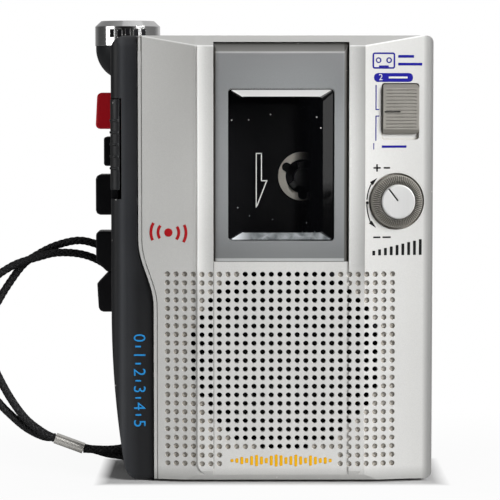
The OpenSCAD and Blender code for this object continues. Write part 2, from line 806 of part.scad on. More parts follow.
module window_lens() {
    x0 = lens_x0 + fit;
    x1 = lens_x0 + lens_w - fit;
    z0 = lens_z + fit;
    z1 = lens_z + lens_h - fit;
    rim = 0.25;
    color([0.12, 0.13, 0.14, 0.5])
        difference() {
            along_y(bezel_y, bezel_y + bezel_t)
                round_rect([x0, z0], [x1, z1], 0.8);
            intersection() {
                along_z(z0, z1)
                    polygon([
                        [x0 + rim - lens_slope_x, bezel_y - lens_sink], [x0 + rim, bezel_y],
                        [x0 + rim + lens_slope_x, bezel_y + lens_sink],
                        [x1 - rim - lens_slope_x, bezel_y + lens_sink], [x1 - rim, bezel_y],
                        [x1 - rim + lens_slope_x, bezel_y - lens_sink]
                    ]);
                along_x(x0, x1)
                    polygon([
                        [bezel_y - lens_sink, z0 + rim - lens_slope_z], [bezel_y, z0 + rim],
                        [bezel_y + lens_sink, z0 + rim + lens_slope_z],
                        [bezel_y + lens_sink, z1 - rim - lens_slope_z], [bezel_y, z1 - rim],
                        [bezel_y - lens_sink, z1 - rim + lens_slope_z]
                    ]);
            }
        }
}

cloth_t = 0.3;
cloth_r = speaker_r + 1.5;
flange_t = 1;
magnet_r = 8.5;
flange_y = lid_in_y + cloth_t;
basket_y = inner_y - 0.6;

// Bodies of revolution about the speaker's axis, drawn as radius and depth behind the lid's front wall
module on_speaker() {
    translate([speaker_x, 0, speaker_z])
        rotate([-90, 0, 0])
            rotate_extrude()
                children();
}

module dust_cloth() {
    color([0.05, 0.05, 0.06])
        rod_y(speaker_x, speaker_z, lid_in_y, flange_y, cloth_r);
}

module speaker_frame() {
    color("darkgray")
        on_speaker()
            polygon([
                [speaker_r - 2.2, flange_y], [speaker_r, flange_y], [speaker_r, flange_y + flange_t],
                [speaker_r - 1.4, flange_y + flange_t], [magnet_r + 1, basket_y],
                [magnet_r + 1, inner_y - 0.1], [2, inner_y - 0.1], [2, basket_y],
                [magnet_r, basket_y - 0.5], [speaker_r - 2.2, flange_y + 0.6]
            ]);
}

module speaker_magnet() {
    color("black")
        rod_y(speaker_x, speaker_z, inner_y - 0.1, inner_y + inner_t, magnet_r);
}

module speaker_cone() {
    color([0.1, 0.1, 0.1])
        on_speaker()
            polygon([
                [0, flange_y + 0.5], [3, flange_y + 0.8], [4.2, flange_y + 1.3],
                [speaker_r - 3.2, flange_y + 0.2],
                [speaker_r - 2.4, flange_y + 0.2], [speaker_r - 2.4, flange_y + 0.5],
                [speaker_r - 3.2, flange_y + 0.5], [4.2, flange_y + 1.6], [0, flange_y + 1.1]
            ]);
}

spring_t = 0.3;
spring_bow = 0.4;
spring_w = 4;
spring_l = 10;
spring_end = 11;

module cassette_springs() {
    x1 = xr - 16;
    x0 = x1 - spring_l;
    y0 = inner_y + inner_t;
    color("gainsboro")
        for (z = [lid_lift + spring_end, body_h - spring_end])
            along_z(z - spring_w / 2, z + spring_w / 2)
                polygon([
                    [x0, y0], [x1, y0], [x1, y0 + spring_t],
                    [(x0 + x1) / 2, y0 + spring_t + spring_bow], [x0, y0 + spring_t]
                ]);
}

// Room taken by the backs of the two controls behind the facet, grown by e
module control_room(e) {
    on_facet(dial_x, dial_z)
        translate([0, 0, -seat_low - control_t - e])
            cylinder(h = control_t + e, r = control_r + e);
    on_facet(switch_x, switch_z + switch_h / 2)
        translate([-switch_w / 2 - e, -switch_h / 2 - e, -seat_low - control_t - e])
            cube([switch_w + 2 * e, switch_h + 2 * e, control_t + e]);
}

module speed_control() {
    color("darkslategray")
        on_facet(dial_x, dial_z)
            translate([0, 0, -seat_low - control_t])
                difference() {
                    cylinder(h = control_t, r = control_r);
                    translate([0, 0, -cut])
                        cylinder(h = control_t + 2 * cut, r = shaft_r + pin_play);
                }
}

module switch_body() {
    color("darkslategray")
        on_facet(switch_x, switch_z + switch_h / 2)
            translate([-switch_w / 2, -switch_h / 2, -seat_low - control_t])
                cube([switch_w, switch_h, control_t]);
}

dial_low = -seat_sink + slip;

module speed_dial() {
    rim_z = dial_rise - 0.8;
    cone = atan2(dial_rise - rim_z, dial_r - 0.4 - cap_r - 1);
    rib_gap = 0.24;
    rib_sink = 0.3;
    color([0.45, 0.44, 0.42])
        on_facet(dial_x, dial_z)
            difference() {
                union() {
                    rotate_extrude()
                        polygon([
                            [0, dial_low], [dial_r - 0.1, dial_low], [dial_r - 0.1, 0.2],
                            [dial_r - 0.4, rim_z], [cap_r + 1, dial_rise], [cap_r + 0.5, dial_rise],
                            [cap_r + 0.1, dial_rise - 0.5], [0, dial_rise - 0.5]
                        ]);
                    translate([0, 0, -seat_low - control_t])
                        cylinder(h = seat_low + control_t + dial_low + 0.1, r = shaft_r);
                }
                for (i = [0:dial_ribs - 1])
                    rotate([0, 0, 360 * i / dial_ribs])
                        translate([cap_r + 1.1, -rib_gap / 2, dial_rise - rib_sink])
                            rotate([0, cone, 0])
                                cube([dial_r, rib_gap, dial_rise]);
            }
}

module dial_cap() {
    color("gainsboro")
        on_facet(dial_x, dial_z)
            difference() {
                rotate_extrude()
                    polygon([
                        [0, dial_rise - 0.5], [cap_r, dial_rise - 0.5], [cap_r, dial_rise - 0.1],
                        [cap_r - 0.3, dial_rise + 0.1], [0, dial_rise + 0.1]
                    ]);
                rotate([0, 0, 128])
                    translate([0.3, -0.2, dial_rise - 0.1])
                        cube([cap_r, 0.4, 1]);
            }
}

module tape_switch() {
    h = switch_h - switch_travel - 2 * slip;
    top = switch_h / 2 - slip;
    ribs = 12;
    rib_gap = 0.24;
    pitch = (h - 3.2) / (ribs - 1);
    first = top - h + 1.6 - rib_gap / 2;
    color([0.5, 0.49, 0.47])
        on_facet(switch_x, switch_z + switch_h / 2)
            difference() {
                union() {
                    intersection() {
                        translate([0, 0, -seat_sink + slip])
                            linear_extrude(seat_sink - slip + switch_rise)
                                round_rect([-switch_w / 2 + slip, top - h], [switch_w / 2 - slip, top], 0.7);
                        translate([-switch_w / 2, 0, 0])
                            rotate([90, 0, 90])
                                linear_extrude(switch_w)
                                    polygon([
                                        [top - h, -seat_sink], [top, -seat_sink], [top, 0],
                                        [top - 1.1, switch_rise], [top - h + 1.1, switch_rise], [top - h, 0]
                                    ]);
                    }
                    translate([-switch_w / 4, -switch_h / 4, -seat_low + slip])
                        cube([switch_w / 2, switch_h / 2 - slip, seat_low - seat_sink]);
                }
                for (i = [0:ribs - 1])
                    translate([-switch_w / 2 + 1, first + i * pitch, switch_rise - 0.15])
                        cube([switch_w - 2, rib_gap, 1]);
            }
}

// Outer solid of the front left panel, grown by e
module panel_solid(e) {
    intersection() {
        along_y(panel_y - e, cab_y)
            body_outline(-e);
        along_z(-cut, body_h + cut)
            difference() {
                translate([xl - e, panel_y - e])
                    square([body_w / 2, cab_y - panel_y + e]);
                corner_off(xl - e, panel_y - e, panel_r + e, -1, -1);
            }
        along_x(xl - cut, 0)
            difference() {
                translate([panel_y - e, -e])
                    square([cab_y - panel_y + e, body_h + 2 * e]);
                corner_off(panel_y - e, body_h + e, panel_r, -1, 1);
                corner_off(panel_y - e, -e, 1.6, -1, -1);
            }
    }
}

pause_slot_x = xl + pause_w + slip;
pause_slot_y = panel_y + pause_w + 1.4;

module key_panel() {
    color([0.19, 0.2, 0.21])
        difference() {
            intersection() {
                panel_solid(0);
                along_y(panel_y - cut, cab_y)
                    left_of_edge(-seam);
            }
            along_y(panel_y + wall, inner_y + inner_t)
                intersection() {
                    body_outline(wall);
                    left_of_edge(-seam - panel_lip);
                }
            along_y(inner_y, cab_y + cut)
                intersection() {
                    body_outline(wall);
                    left_of_edge(cut);
                }
            span([xl - cut, panel_y - cut, pause_z - pause_travel - slip],
                [pause_slot_x, pause_slot_y, pause_z + pause_h + slip]);
        }
}

module pause_slider() {
    rise = 0.15;
    grip = 0.5;
    grips = 5;
    pitch = 3.12;
    first = pause_z + (pause_h - (grips - 1) * pitch) / 2;
    color([0.13, 0.13, 0.14])
        intersection() {
            difference() {
                union() {
                    panel_solid(rise);
                    intersection() {
                        panel_solid(grip);
                        for (i = [0:grips - 1])
                            span([xl - cut, panel_y - cut, first + i * pitch - 0.5],
                                [pause_slot_x, cab_y, first + i * pitch + 0.5]);
                    }
                }
                along_z(-cut, body_h + cut)
                    difference() {
                        translate([xl + wall, panel_y + wall])
                            square(20);
                        corner_off(xl + wall, panel_y + wall, panel_r - wall, -1, -1);
                    }
            }
            span([xl - cut, panel_y - cut, pause_z],
                [pause_slot_x - slip, pause_slot_y - slip, pause_z + pause_h]);
        }
}

// Tub-shaped outer solid of the cabinet
module cabinet_solid(e) {
    y1 = y_back - (e > 0 ? door_t : 0);
    r = max(back_r - e, 0.6);
    intersection() {
        along_y(cab_y - e, y1)
            body_outline(e);
        along_z(-cut, body_h + cut)
            difference() {
                translate([xl + e, cab_y - e])
                    square([body_w - 2 * e, y1 - cab_y + e]);
                corner_off(xl + e, y1, r, -1, 1);
                corner_off(xr - e, y1, r, 1, 1);
            }
        along_x(xl - cut, xr + cut)
            difference() {
                translate([cab_y - e, e])
                    square([y1 - cab_y + e, body_h - 2 * e]);
                corner_off(y1, body_h - e, r, 1, 1);
                corner_off(y1, e, max(r - 1.4, 0.4), 1, -1);
            }
    }
}

// Round seat of the microphone, grown by e
module mic_form(e) {
    translate([mic_x, mic_y, mic_ball_z])
        sphere(mic_house_r + e);
    rod_z(mic_x, mic_y, mic_ball_z, mic_seam_z, mic_house_r + e);
    if (e > 0)
        rod_z(mic_x, mic_y, mic_seam_z - e, mic_seam_z + 20, mic_r + e);
}

cheek_t = 1.6;
door_x0 = bay_x + cheek_t;
door_x1 = xr - wall - cheek_t;
door_z0 = bay_z + 0.4;
door_z1 = body_h - wall - 2.2;
door_axis_y = y_back - door_r;
door_axis_z = door_z0 + door_r;
// The jack block sits midway between the two upper bosses
jack_margin = 4.5;
jack_x = (BOSSES[0][0] + BOSSES[1][0] - jack_gap) / 2;
jack_x0 = jack_x - jack_margin;
jack_x1 = jack_x + jack_gap + jack_margin;
jack_y = deck_back_y + 4.3;
jack_y1 = jack_y + 5;
jack_h = 12;

module rear_cabinet() {
    color([0.2, 0.21, 0.22])
        difference() {
            union() {
                difference() {
                    cabinet_solid(0);
                    difference() {
                        cabinet_solid(wall);
                        // Walls of the battery bay
                        span([bay_x - cheek_t, deck_back_y + fit, bay_z - cheek_t], [bay_x, y_back, body_h]);
                        span([bay_x - cheek_t, deck_back_y + fit, bay_z - cheek_t], [xr, y_back, bay_z]);
                        // Ears that hold the battery door's pins
                        for (x = [bay_x - cheek_t, door_x1 + fit])
                            span([x, door_axis_y - 1.8, bay_z - cheek_t],
                                [x + 2 * cheek_t - fit, y_back, door_axis_z + 1.6]);
                        for (p = BOSSES)
                            rod_y(p[0], p[1], deck_back_y, y_back, boss_r);
                        for (p = POSTS)
                            rod_y(p[0], p[1], board_y + board_t, y_back, post_r);
                        // Walls of the strap's pocket
                        span([xl, cab_y, 0], pocket_end + [pocket_wall, pocket_wall, pocket_wall]);
                    }
                }
                for (z = [knuckle_low_z, knuckle_top_z]) {
                    rod_z(hinge_x, hinge_y, z - knuckle_h / 2, z + knuckle_h / 2, hinge_r);
                    span([hinge_x - hinge_r, hinge_y, z - knuckle_h / 2],
                        [xr, cab_y + wall, z + knuckle_h / 2]);
                }
            }
            for (z = [knuckle_low_z, knuckle_top_z])
                rod_z(hinge_x, hinge_y, z - knuckle_h / 2 - cut, z + knuckle_h / 2 + cut,
                    hinge_pin_r + pin_play);
            mic_form(fit);
            for (k = KEYS)
                span([xl - cut, key_y - slip, k[0] - slip],
                    [xl + wall + cut, key_end_y + slip, k[1] + slip]);
            // Opening for the battery door
            span([door_x0 - fit, back_in_y - cut, door_z0 - seam],
                [door_x1 + fit, y_back + cut, door_z1 + seam]);
            rod_x(door_axis_y, door_axis_z, door_x0 - 1.2, door_x1 + 1.2, door_pin_r + pin_play);
            // Notch for the jack block
            span([jack_x0 - fit, cab_y - cut, body_h - wall - cut],
                [jack_x1 + fit, jack_y1 + fit, body_h + cut]);
            // Slot for the volume wheel
            span([xr - wall - cut, volume_y - volume_slot, volume_z - volume_t / 2 - slip],
                [xr + cut, volume_y + volume_slot, volume_z + volume_t / 2 + slip]);
            // Relief beside the supply spindle
            rod_y(reel_x, supply_z, deck_back_y, deck_back_y + slip + clip_t + slip, clip_r + slip);
            // Pocket for the strap
            span([xl - cut, strap_y - pocket_y, strap_z - pocket_z], pocket_end);
            rod_y(strap_x, strap_z, strap_y - strap_pin_l / 2, strap_y + strap_pin_l / 2, strap_pin_r);
            for (p = BOSSES) {
                rod_y(p[0], p[1], y_back - screw_sink, y_back + cut, screw_head_r + 0.3);
                rod_y(p[0], p[1], deck_back_y - cut, y_back, screw_r);
            }
        }
}

module strap_pin() {
    color("gainsboro")
        rod_y(strap_x, strap_z, strap_y - strap_pin_l / 2, strap_y + strap_pin_l / 2, strap_pin_r);
}

module case_screws() {
    color("dimgray")
        for (p = BOSSES)
            difference() {
                union() {
                    rod_y(p[0], p[1], y_back - screw_sink, y_back - screw_sink + screw_head_h, screw_head_r);
                    rod_y(p[0], p[1], deck_back_y + 2, y_back - screw_sink, screw_r);
                }
                for (turn = [0, 90])
                    translate([p[0], y_back - screw_sink + screw_head_h, p[1]])
                        rotate([0, turn, 0])
                            cube([2.6, 1.4, 0.5], center = true);
            }
}

module deck_plate() {
    color([0.13, 0.13, 0.14])
        difference() {
            union() {
                along_y(deck_y, deck_back_y)
                    body_outline(wall + 0.3);
                for (p = GUIDES) {
                    rod_y(p[0], p[1], plate_y - slip - 0.6, deck_y, guide_r);
                    rod_y(p[0], p[1], plate_y - slip - 1.2, plate_y - slip, guide_r + 1);
                }
                rod_y(idler_x, idler_z, deck_back_y, gear_y + gear_t + 0.3, idler_pin_r);
            }
            for (z = [supply_z, takeup_z])
                rod_y(reel_x, z, deck_y - cut, deck_back_y + cut, shaft_r + pin_play);
            rod_y(capstan_x, capstan_z, deck_y - cut, deck_back_y + cut, bush_r);
            mic_form(0.3);
            span([jack_x0 - 0.3, deck_y - cut, body_h - jack_h - 0.3],
                [jack_x1 + 0.3, deck_back_y + cut, body_h]);
            for (p = BOSSES)
                rod_y(p[0], p[1], deck_y - cut, deck_back_y + cut, screw_r);
            // Corner that makes room for the strap's pocket
            span([xl, deck_y - cut, 0],
                [pocket_x + pocket_wall + 0.3, deck_back_y + cut, strap_z + pocket_z + pocket_wall + 0.3]);
        }
}

bush_r = 2.4;

module capstan_bearing() {
    color("goldenrod")
        difference() {
            rod_y(capstan_x, capstan_z, deck_y - 0.3, deck_back_y + 0.6, bush_r);
            rod_y(capstan_x, capstan_z, deck_y - cut, deck_back_y + cut, capstan_r + pin_play);
        }
}

// Parts on the board, as places from its middle: chips as [x, z, width, height, rise],
// round capacitors as [x, z, radius, rise]
CHIPS = [[0, -4, 10, 6, 1.8], [-3.5, 7.5, 7, 5, 1.4]];
CAPACITORS = [[9, 7, 2.5, 6], [-10, 1, 2, 5]];

module main_board() {
    mid_x = (board_x0 + board_x1) / 2;
    mid_z = (board_z0 + board_z1) / 2;
    color("darkgreen")
        difference() {
            span([board_x0, board_y, board_z0], [board_x1, board_y + board_t, board_z1]);
            for (p = POSTS)
                rod_y(p[0], p[1], board_y - cut, board_y + board_t + cut, post_hole_r);
        }
    color("black") {
        for (c = CHIPS)
            translate([mid_x + c[0] - c[2] / 2, board_y - c[4], mid_z + c[1] - c[3] / 2])
                cube([c[2], c[4], c[3]]);
        for (c = CAPACITORS)
            rod_y(mid_x + c[0], mid_z + c[1], board_y - c[3], board_y, c[2]);
    }
}

module motor() {
    color("silver")
        difference() {
            rod_y(motor_x, motor_z, gear_y - 0.4, back_in_y - 0.2, motor_r);
            rod_y(motor_x, motor_z, gear_y - cut, gear_y + 6, 0.75 + pin_play);
        }
}

module motor_pulley() {
    color("goldenrod") {
        rod_y(motor_x, motor_z, fly_y, fly_y + fly_t, pulley_r);
        rod_y(motor_x, motor_z, fly_y + fly_t, gear_y + 5, 0.75);
    }
}

// Outline of a band around the flywheel and the motor pulley, e outside their rims
module belt_outline(e) {
    hull() {
        translate([capstan_x, capstan_z])
            circle(flywheel_r + e);
        translate([motor_x, motor_z])
            circle(pulley_r + e);
    }
}

module drive_belt() {
    y0 = fly_y + (fly_t - belt_w) / 2;
    color("black")
        along_y(y0, y0 + belt_w)
            difference() {
                belt_outline(belt_gap + belt_t);
                belt_outline(belt_gap);
            }
}

// Section of a contact plate on the face at height z, with a bump of the given half width and rise
module contact_section(z, bump_w, bump) {
    plate = bump > 0 ? 0.4 : -0.4;
    half = 3;
    polygon([
        [room_y - half, z], [room_y + half, z], [room_y + half, z + plate],
        [room_y + bump_w, z + plate + bump], [room_y - bump_w, z + plate + bump], [room_y - half, z + plate]
    ]);
}

module battery_contacts() {
    mid = (bay_x + xr - wall) / 2;
    plate_w = 7;
    color("gainsboro") {
        along_x(bay_x + 2, xr - wall - 2)
            contact_section(bay_z, 0.5, 1.2);
        for (x = [bay_x + 4, mid + 3])
            along_x(x, x + plate_w)
                contact_section(body_h - wall, 0.8, -0.6);
    }
}

module battery_door() {
    bars = 5;
    color([0.2, 0.21, 0.22])
        difference() {
            union() {
                span([door_x0 + slip, back_in_y + fit, door_axis_z], [door_x1 - slip, y_back, door_z1]);
                rod_x(door_axis_y, door_axis_z, door_x0 + slip, door_x1 - slip, door_r);
                rod_x(door_axis_y, door_axis_z, door_x0 - 0.9, door_x1 + 0.9, door_pin_r);
            }
            for (i = [0:bars - 1])
                span([door_x0 + 8, y_back - 0.4, door_z1 - 4 - 2 * i],
                    [door_x1 - 8, y_back + cut, door_z1 - 3 - 2 * i]);
        }
}

module jack_block() {
    color([0.12, 0.12, 0.13])
        difference() {
            union() {
                span([jack_x0, cab_y, body_h - wall], [jack_x1, jack_y1, body_h]);
                span([jack_x0 + 1, jack_y - 4, body_h - jack_h],
                    [jack_x1 - 1, jack_y1 - 0.5, body_h - wall]);
            }
            for (i = [0, 1])
                rod_z(jack_x + i * jack_gap, jack_y, body_h - jack_h + 1.5, body_h + cut, jack_r);
        }
}

module volume_control() {
    color("darkslategray") {
        span([volume_x - 5, deck_back_y, volume_z - volume_t / 2 - slip - 3],
            [xr - wall - fit, volume_y + 4, volume_z - volume_t / 2 - slip]);
        rod_z(volume_x, volume_y, volume_z - volume_t / 2 - slip, volume_z + volume_t / 2, shaft_r);
    }
}

module volume_wheel() {
    teeth = 36;
    color([0.12, 0.12, 0.13])
        difference() {
            rod_z(volume_x, volume_y, volume_z - volume_t / 2, volume_z + volume_t / 2, volume_r);
            rod_z(volume_x, volume_y, volume_z - volume_t, volume_z + volume_t, shaft_r + pin_play);
            for (i = [0:teeth - 1])
                translate([volume_x, volume_y, volume_z])
                    rotate([0, 0, 360 * i / teeth])
                        translate([volume_r, 0, 0])
                            cube([0.6, 0.6, volume_t + cut], center = true);
        }
}

module mic_housing() {
    color([0.19, 0.2, 0.21])
        difference() {
            intersection() {
                mic_form(0);
                rod_z(mic_x, mic_y, mic_ball_z - 20, mic_seam_z, mic_r + cut);
            }
            rod_z(mic_x, mic_y, mic_seam_z - 5, mic_seam_z + cut, mic_r - 2.2);
        }
}

module mic_capsule() {
    color("gainsboro")
        rod_z(mic_x, mic_y, mic_seam_z - 5, mic_seam_z + 1.5, mic_r - 3.4);
}

module mic_grille() {
    bevel_h = 1.5;
    slots = 5;
    top = mic_seam_z + mic_cap_h;
    color("gainsboro")
        difference() {
            translate([mic_x, mic_y, 0])
                rotate_extrude()
                    polygon([
                        [mic_r - mic_shell, mic_seam_z], [mic_r, mic_seam_z], [mic_r, top - bevel_h],
                        [mic_r - 1.6, top], [0, top], [0, top - mic_shell], [mic_r - 2, top - mic_shell],
                        [mic_r - mic_shell, top - bevel_h - 0.3]
                    ]);
            for (i = [0:slots - 1])
                translate([mic_x, mic_y, mic_seam_z + 2.2])
                    rotate([0, 0, -26 + 14.5 * i])
                        translate([-0.6, -mic_r - cut, 0])
                            cube([1.2, 3, 2.1]);
        }
}

// One key: k holds its ends, its reach and its bevels
module key(k) {
    x_out = xl - k[2];
    x_in = key_in_x;
    round_y = 1;
    intersection() {
        along_y(key_y, key_end_y)
            polygon([
                [x_in, k[0]], [x_out + k[3][0], k[0]], [x_out, k[0] + k[3][1]],
                [x_out, k[1] - k[4][1]], [x_out + k[4][0], k[1]], [x_in, k[1]]
            ]);
        along_z(k[0] - cut, k[1] + cut)
            difference() {
                translate([x_out, key_y])
                    square([x_in - x_out, key_w]);
                corner_off(x_out, key_y, round_y, -1, -1);
                corner_off(x_out, key_end_y, round_y, -1, 1);
            }
    }
    // Flange that keeps the key behind the wall
    span([xl + wall + slip, key_y - 0.8, k[0] + 1.5], [xl + wall + slip + 1.2, key_end_y + 0.8, k[1] - 1.5]);
}

module record_key() {
    color([0.65, 0.1, 0.12])
        key(REC);
}
module stop_key() {
    color([0.1, 0.1, 0.11])
        key(STOP);
}
module play_key() {
    color([0.1, 0.1, 0.11]) {
        key(PLAY);
        // Raised dot that is felt with the finger
        translate([xl - key_out, key_y + key_w / 2, (PLAY[0] + PLAY[1]) / 2])
            sphere(0.6, $fn = 32);
    }
}
module forward_key() {
    color([0.1, 0.1, 0.11])
        key(FWD);
}
module rewind_key() {
    color([0.1, 0.1, 0.11])
        key(REW);
}

module head_carriage() {
    color("silver")
        difference() {
            span([plate_x0, plate_y, plate_z0], [plate_x1, plate_y + plate_t, plate_z1]);
            for (p = GUIDES)
                span([p[0] - head_travel - guide_r - slip, plate_y - cut, p[1] - guide_r - slip],
                    [p[0] + guide_r + slip, plate_y + plate_t + cut, p[1] + guide_r + slip]);
        }
}

head_y0 = tape_y - 3.6;

module playback_head() {
    color("gainsboro")
        intersection() {
            span([head_x - 5.5, head_y0, reel_mid_z - 6], [head_x, plate_y, reel_mid_z + 6]);
            rod_y(head_x - 8, reel_mid_z, head_y0, plate_y, 8);
        }
}

module erase_head() {
    color("black")
        intersection() {
            span([head_x - 4.5, head_y0, reel_mid_z + 9], [head_x, plate_y, reel_mid_z + 14]);
            rod_y(head_x - 5, reel_mid_z + 11.5, head_y0, plate_y, 5);
        }
}

module pinch_arm() {
    color("silver") {
        span([plate_x0 + 0.5, head_y0 - 1.2, capstan_z - 2], [pinch_x + 2, head_y0 - 0.2, capstan_z + 2]);
        span([plate_x0 + 0.5, head_y0 - 1.2, capstan_z - 2], [plate_x0 + 1.3, plate_y, capstan_z + 2]);
        rod_y(pinch_x, capstan_z, head_y0 - 0.2, plate_y, pinch_pin_r);
    }
}

module pinch_roller() {
    color([0.15, 0.15, 0.15])
        difference() {
            rod_y(pinch_x, capstan_z, head_y0 + 0.1, cab_y - slip, pinch_r);
            rod_y(pinch_x, capstan_z, head_y0 - cut, plate_y + cut, pinch_pin_r + pin_play);
        }
}

// Reel spindle at height z: ring, three-lobed post, shaft through the deck plate
module spindle(z) {
    lobes = 3;
    front_y = deck_y - slip;
    rod_y(reel_x, z, front_y - 0.8, front_y, reel_ring_r);
    rod_y(reel_x, z, front_y - reel_len, front_y, 2.4);
    for (i = [0:lobes - 1])
        translate([reel_x, 0, z])
            rotate([0, 22 + 360 * i / lobes, 0])
                span([0, front_y - reel_len + 1.5, -0.9], [reel_lobe_r, front_y, 0.9]);
    rod_y(reel_x, z, front_y, deck_back_y + slip, shaft_r);
}

module supply_spindle() {
    color([0.6, 0.6, 0.58]) {
        spindle(supply_z);
        rod_y(reel_x, supply_z, deck_back_y + slip, deck_back_y + slip + clip_t, clip_r);
    }
}

module takeup_spindle() {
    color([0.6, 0.6, 0.58]) {
        spindle(takeup_z);
        rod_y(reel_x, takeup_z, deck_back_y + slip, gear_y, clip_r);
        rod_y(reel_x, takeup_z, gear_y, gear_y + gear_t, takeup_gear_r);
    }
}

module capstan() {
    color("gainsboro")
        rod_y(capstan_x, capstan_z, head_y0 - 0.4, gear_y + gear_t, capstan_r);
}

module flywheel() {
    color("goldenrod")
        difference() {
            union() {
                rod_y(capstan_x, capstan_z, fly_y, fly_y + fly_t, flywheel_r);
                rod_y(capstan_x, capstan_z, fly_y + fly_t, gear_y + gear_t, hub_r);
            }
            rod_y(capstan_x, capstan_z, fly_y - cut, gear_y + gear_t + cut, capstan_r);
        }
}

module idler_wheel() {
    color([0.15, 0.15, 0.15])
        difference() {
            rod_y(idler_x, idler_z, gear_y, gear_y + gear_t, idler_r);
            rod_y(idler_x, idler_z, gear_y - cut, gear_y + gear_t + cut, idler_pin_r + pin_play);
        }
}

// Tube of a cord: rings of points around a route, joined to a closed solid
sides = 8;
function unit(v) = v / norm(v);
function heading(path, i) = unit(path[min(i + 1, len(path) - 1)] - path[max(i - 1, 0)]);
function across(d) = unit(cross(d, abs(d[1]) > 0.9 ? [0, 0, 1] : [0, 1, 0]));
function ring(at, d, r) = let (u = across(d), v = cross(d, u))
    [for (k = [0:sides - 1]) at + r * (cos(360 * k / sides) * u + sin(360 * k / sides) * v)];
module cord(path, end_dir) {
    n = len(path);
    function turn(i) = i == 0 ? -end_dir : i == n - 1 ? end_dir : heading(path, i);
    rings = [for (i = [0:n - 1]) ring(path[i], turn(i), cord_d / 2)];
    sidewalls = [for (i = [0:n - 2], k = [0:sides - 1])
        let (a = i * sides + k, b = i * sides + (k + 1) % sides)
        [[a, b, b + sides], [a, b + sides, a + sides]]];
    caps = [
        [for (k = [0:sides - 1]) sides - 1 - k],
        [for (k = [0:sides - 1]) (n - 1) * sides + k]
    ];
    polyhedron([for (r = rings) each r], concat([for (s = sidewalls) each s], caps));
}

crimp_dir = unit(crimp_to - crimp_at);

module strap_tail() {
    color("black")
        translate(strap_shift)
            cord(TAIL, crimp_dir);
}

module strap_hand_loop() {
    color("black")
        translate(strap_shift)
            cord([for (p = HAND) [p[0], crimp_at[1] + (p[1] - crimp_at[1]) * loop_share, p[2]]], -crimp_dir);
}

module strap_crimp() {
    color("gainsboro")
        translate(strap_shift + crimp_at)
            rotate([0, acos(crimp_dir[2]), atan2(crimp_dir[1], crimp_dir[0])])
                linear_extrude(norm(crimp_to - crimp_at)) {
                    for (side = [-1, 1])
                        translate([0, side * strand])
                            circle(crimp_t / 2);
                    translate([-crimp_t / 2, -strand])
                        square([crimp_t, 2 * strand]);
                }
}

rear_cabinet();
key_panel();
deck_plate();
main_board();
motor();
capstan_bearing();
drive_belt();
battery_contacts();
battery_door();
jack_block();
volume_control();
volume_wheel();
mic_housing();
mic_grille();
mic_capsule();
strap_pin();
case_screws();
lid_front();
lid_frame();
lid_inner_panel();
window_bezel();
window_lens();
dust_cloth();
speaker_frame();
speaker_magnet();
speaker_cone();
cassette_springs();
hinge_pins();
speed_control();
switch_body();
speed_dial();
dial_cap();
tape_switch();
record_key();
stop_key();
play_key();
forward_key();
rewind_key();
pause_slider();
head_carriage();
playback_head();
erase_head();
pinch_arm();
pinch_roller();
supply_spindle();
takeup_spindle();
capstan();
flywheel();
idler_wheel();
motor_pulley();
strap_tail();
strap_crimp();
strap_hand_loop();
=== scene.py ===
"""Looks of a hand-held cassette recorder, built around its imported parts."""

import logging
import math
from contextlib import contextmanager
from dataclasses import dataclass, field
from enum import Enum
from functools import partial
from typing import Callable, Iterator, Sequence

import bmesh
import bpy
from mathutils import Matrix, Vector


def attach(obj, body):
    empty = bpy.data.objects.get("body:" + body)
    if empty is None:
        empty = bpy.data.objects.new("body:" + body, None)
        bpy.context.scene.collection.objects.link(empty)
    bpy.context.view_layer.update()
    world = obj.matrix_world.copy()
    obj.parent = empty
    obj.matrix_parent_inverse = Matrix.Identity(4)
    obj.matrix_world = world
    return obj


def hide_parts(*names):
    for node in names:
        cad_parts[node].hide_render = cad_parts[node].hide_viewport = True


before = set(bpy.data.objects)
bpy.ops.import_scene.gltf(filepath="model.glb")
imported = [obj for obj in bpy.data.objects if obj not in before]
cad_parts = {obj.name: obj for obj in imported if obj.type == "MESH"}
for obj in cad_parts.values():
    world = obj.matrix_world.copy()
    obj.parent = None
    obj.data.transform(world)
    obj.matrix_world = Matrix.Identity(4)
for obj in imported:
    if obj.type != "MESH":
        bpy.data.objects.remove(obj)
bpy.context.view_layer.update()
LOG = logging.getLogger("recorder")
MM = 0.001
FACET_TILT = math.radians(10)
LID_FOLD = (2.35, 21.75, math.tan(FACET_TILT))
PRINT_RISE = 0.04 * MM
REEL_X = 8.3
SUPPLY_Z = 79.2
TAKEUP_Z = 36.7
HAND_SCALE = 70.0
DUST = (0.6, 0.6, 0.58)
DUST_COVER = 0.6
DEEP_SHADE = 0.12

Colour = tuple[float, float, float]
Point = tuple[float, float, float]
Spot = tuple[float, float]
Socket = bpy.types.NodeSocket
Sockets = dict[str, Socket]
Outputs = bpy.types.NodeOutputs


class Body(Enum):
    """Moving bodies that new pieces ride on."""

    CASE = "case"
    LID = "lid"
    DIAL = "dial"
    SWITCH = "tape_switch"
    RECORD = "record_key"
    STOP = "stop_key"
    PLAY = "play_key"
    FORWARD = "forward_key"
    REWIND = "rewind_key"
    PAUSE = "pause_slider"
    SUPPLY = "supply_reel"
    TAKEUP = "takeup_reel"


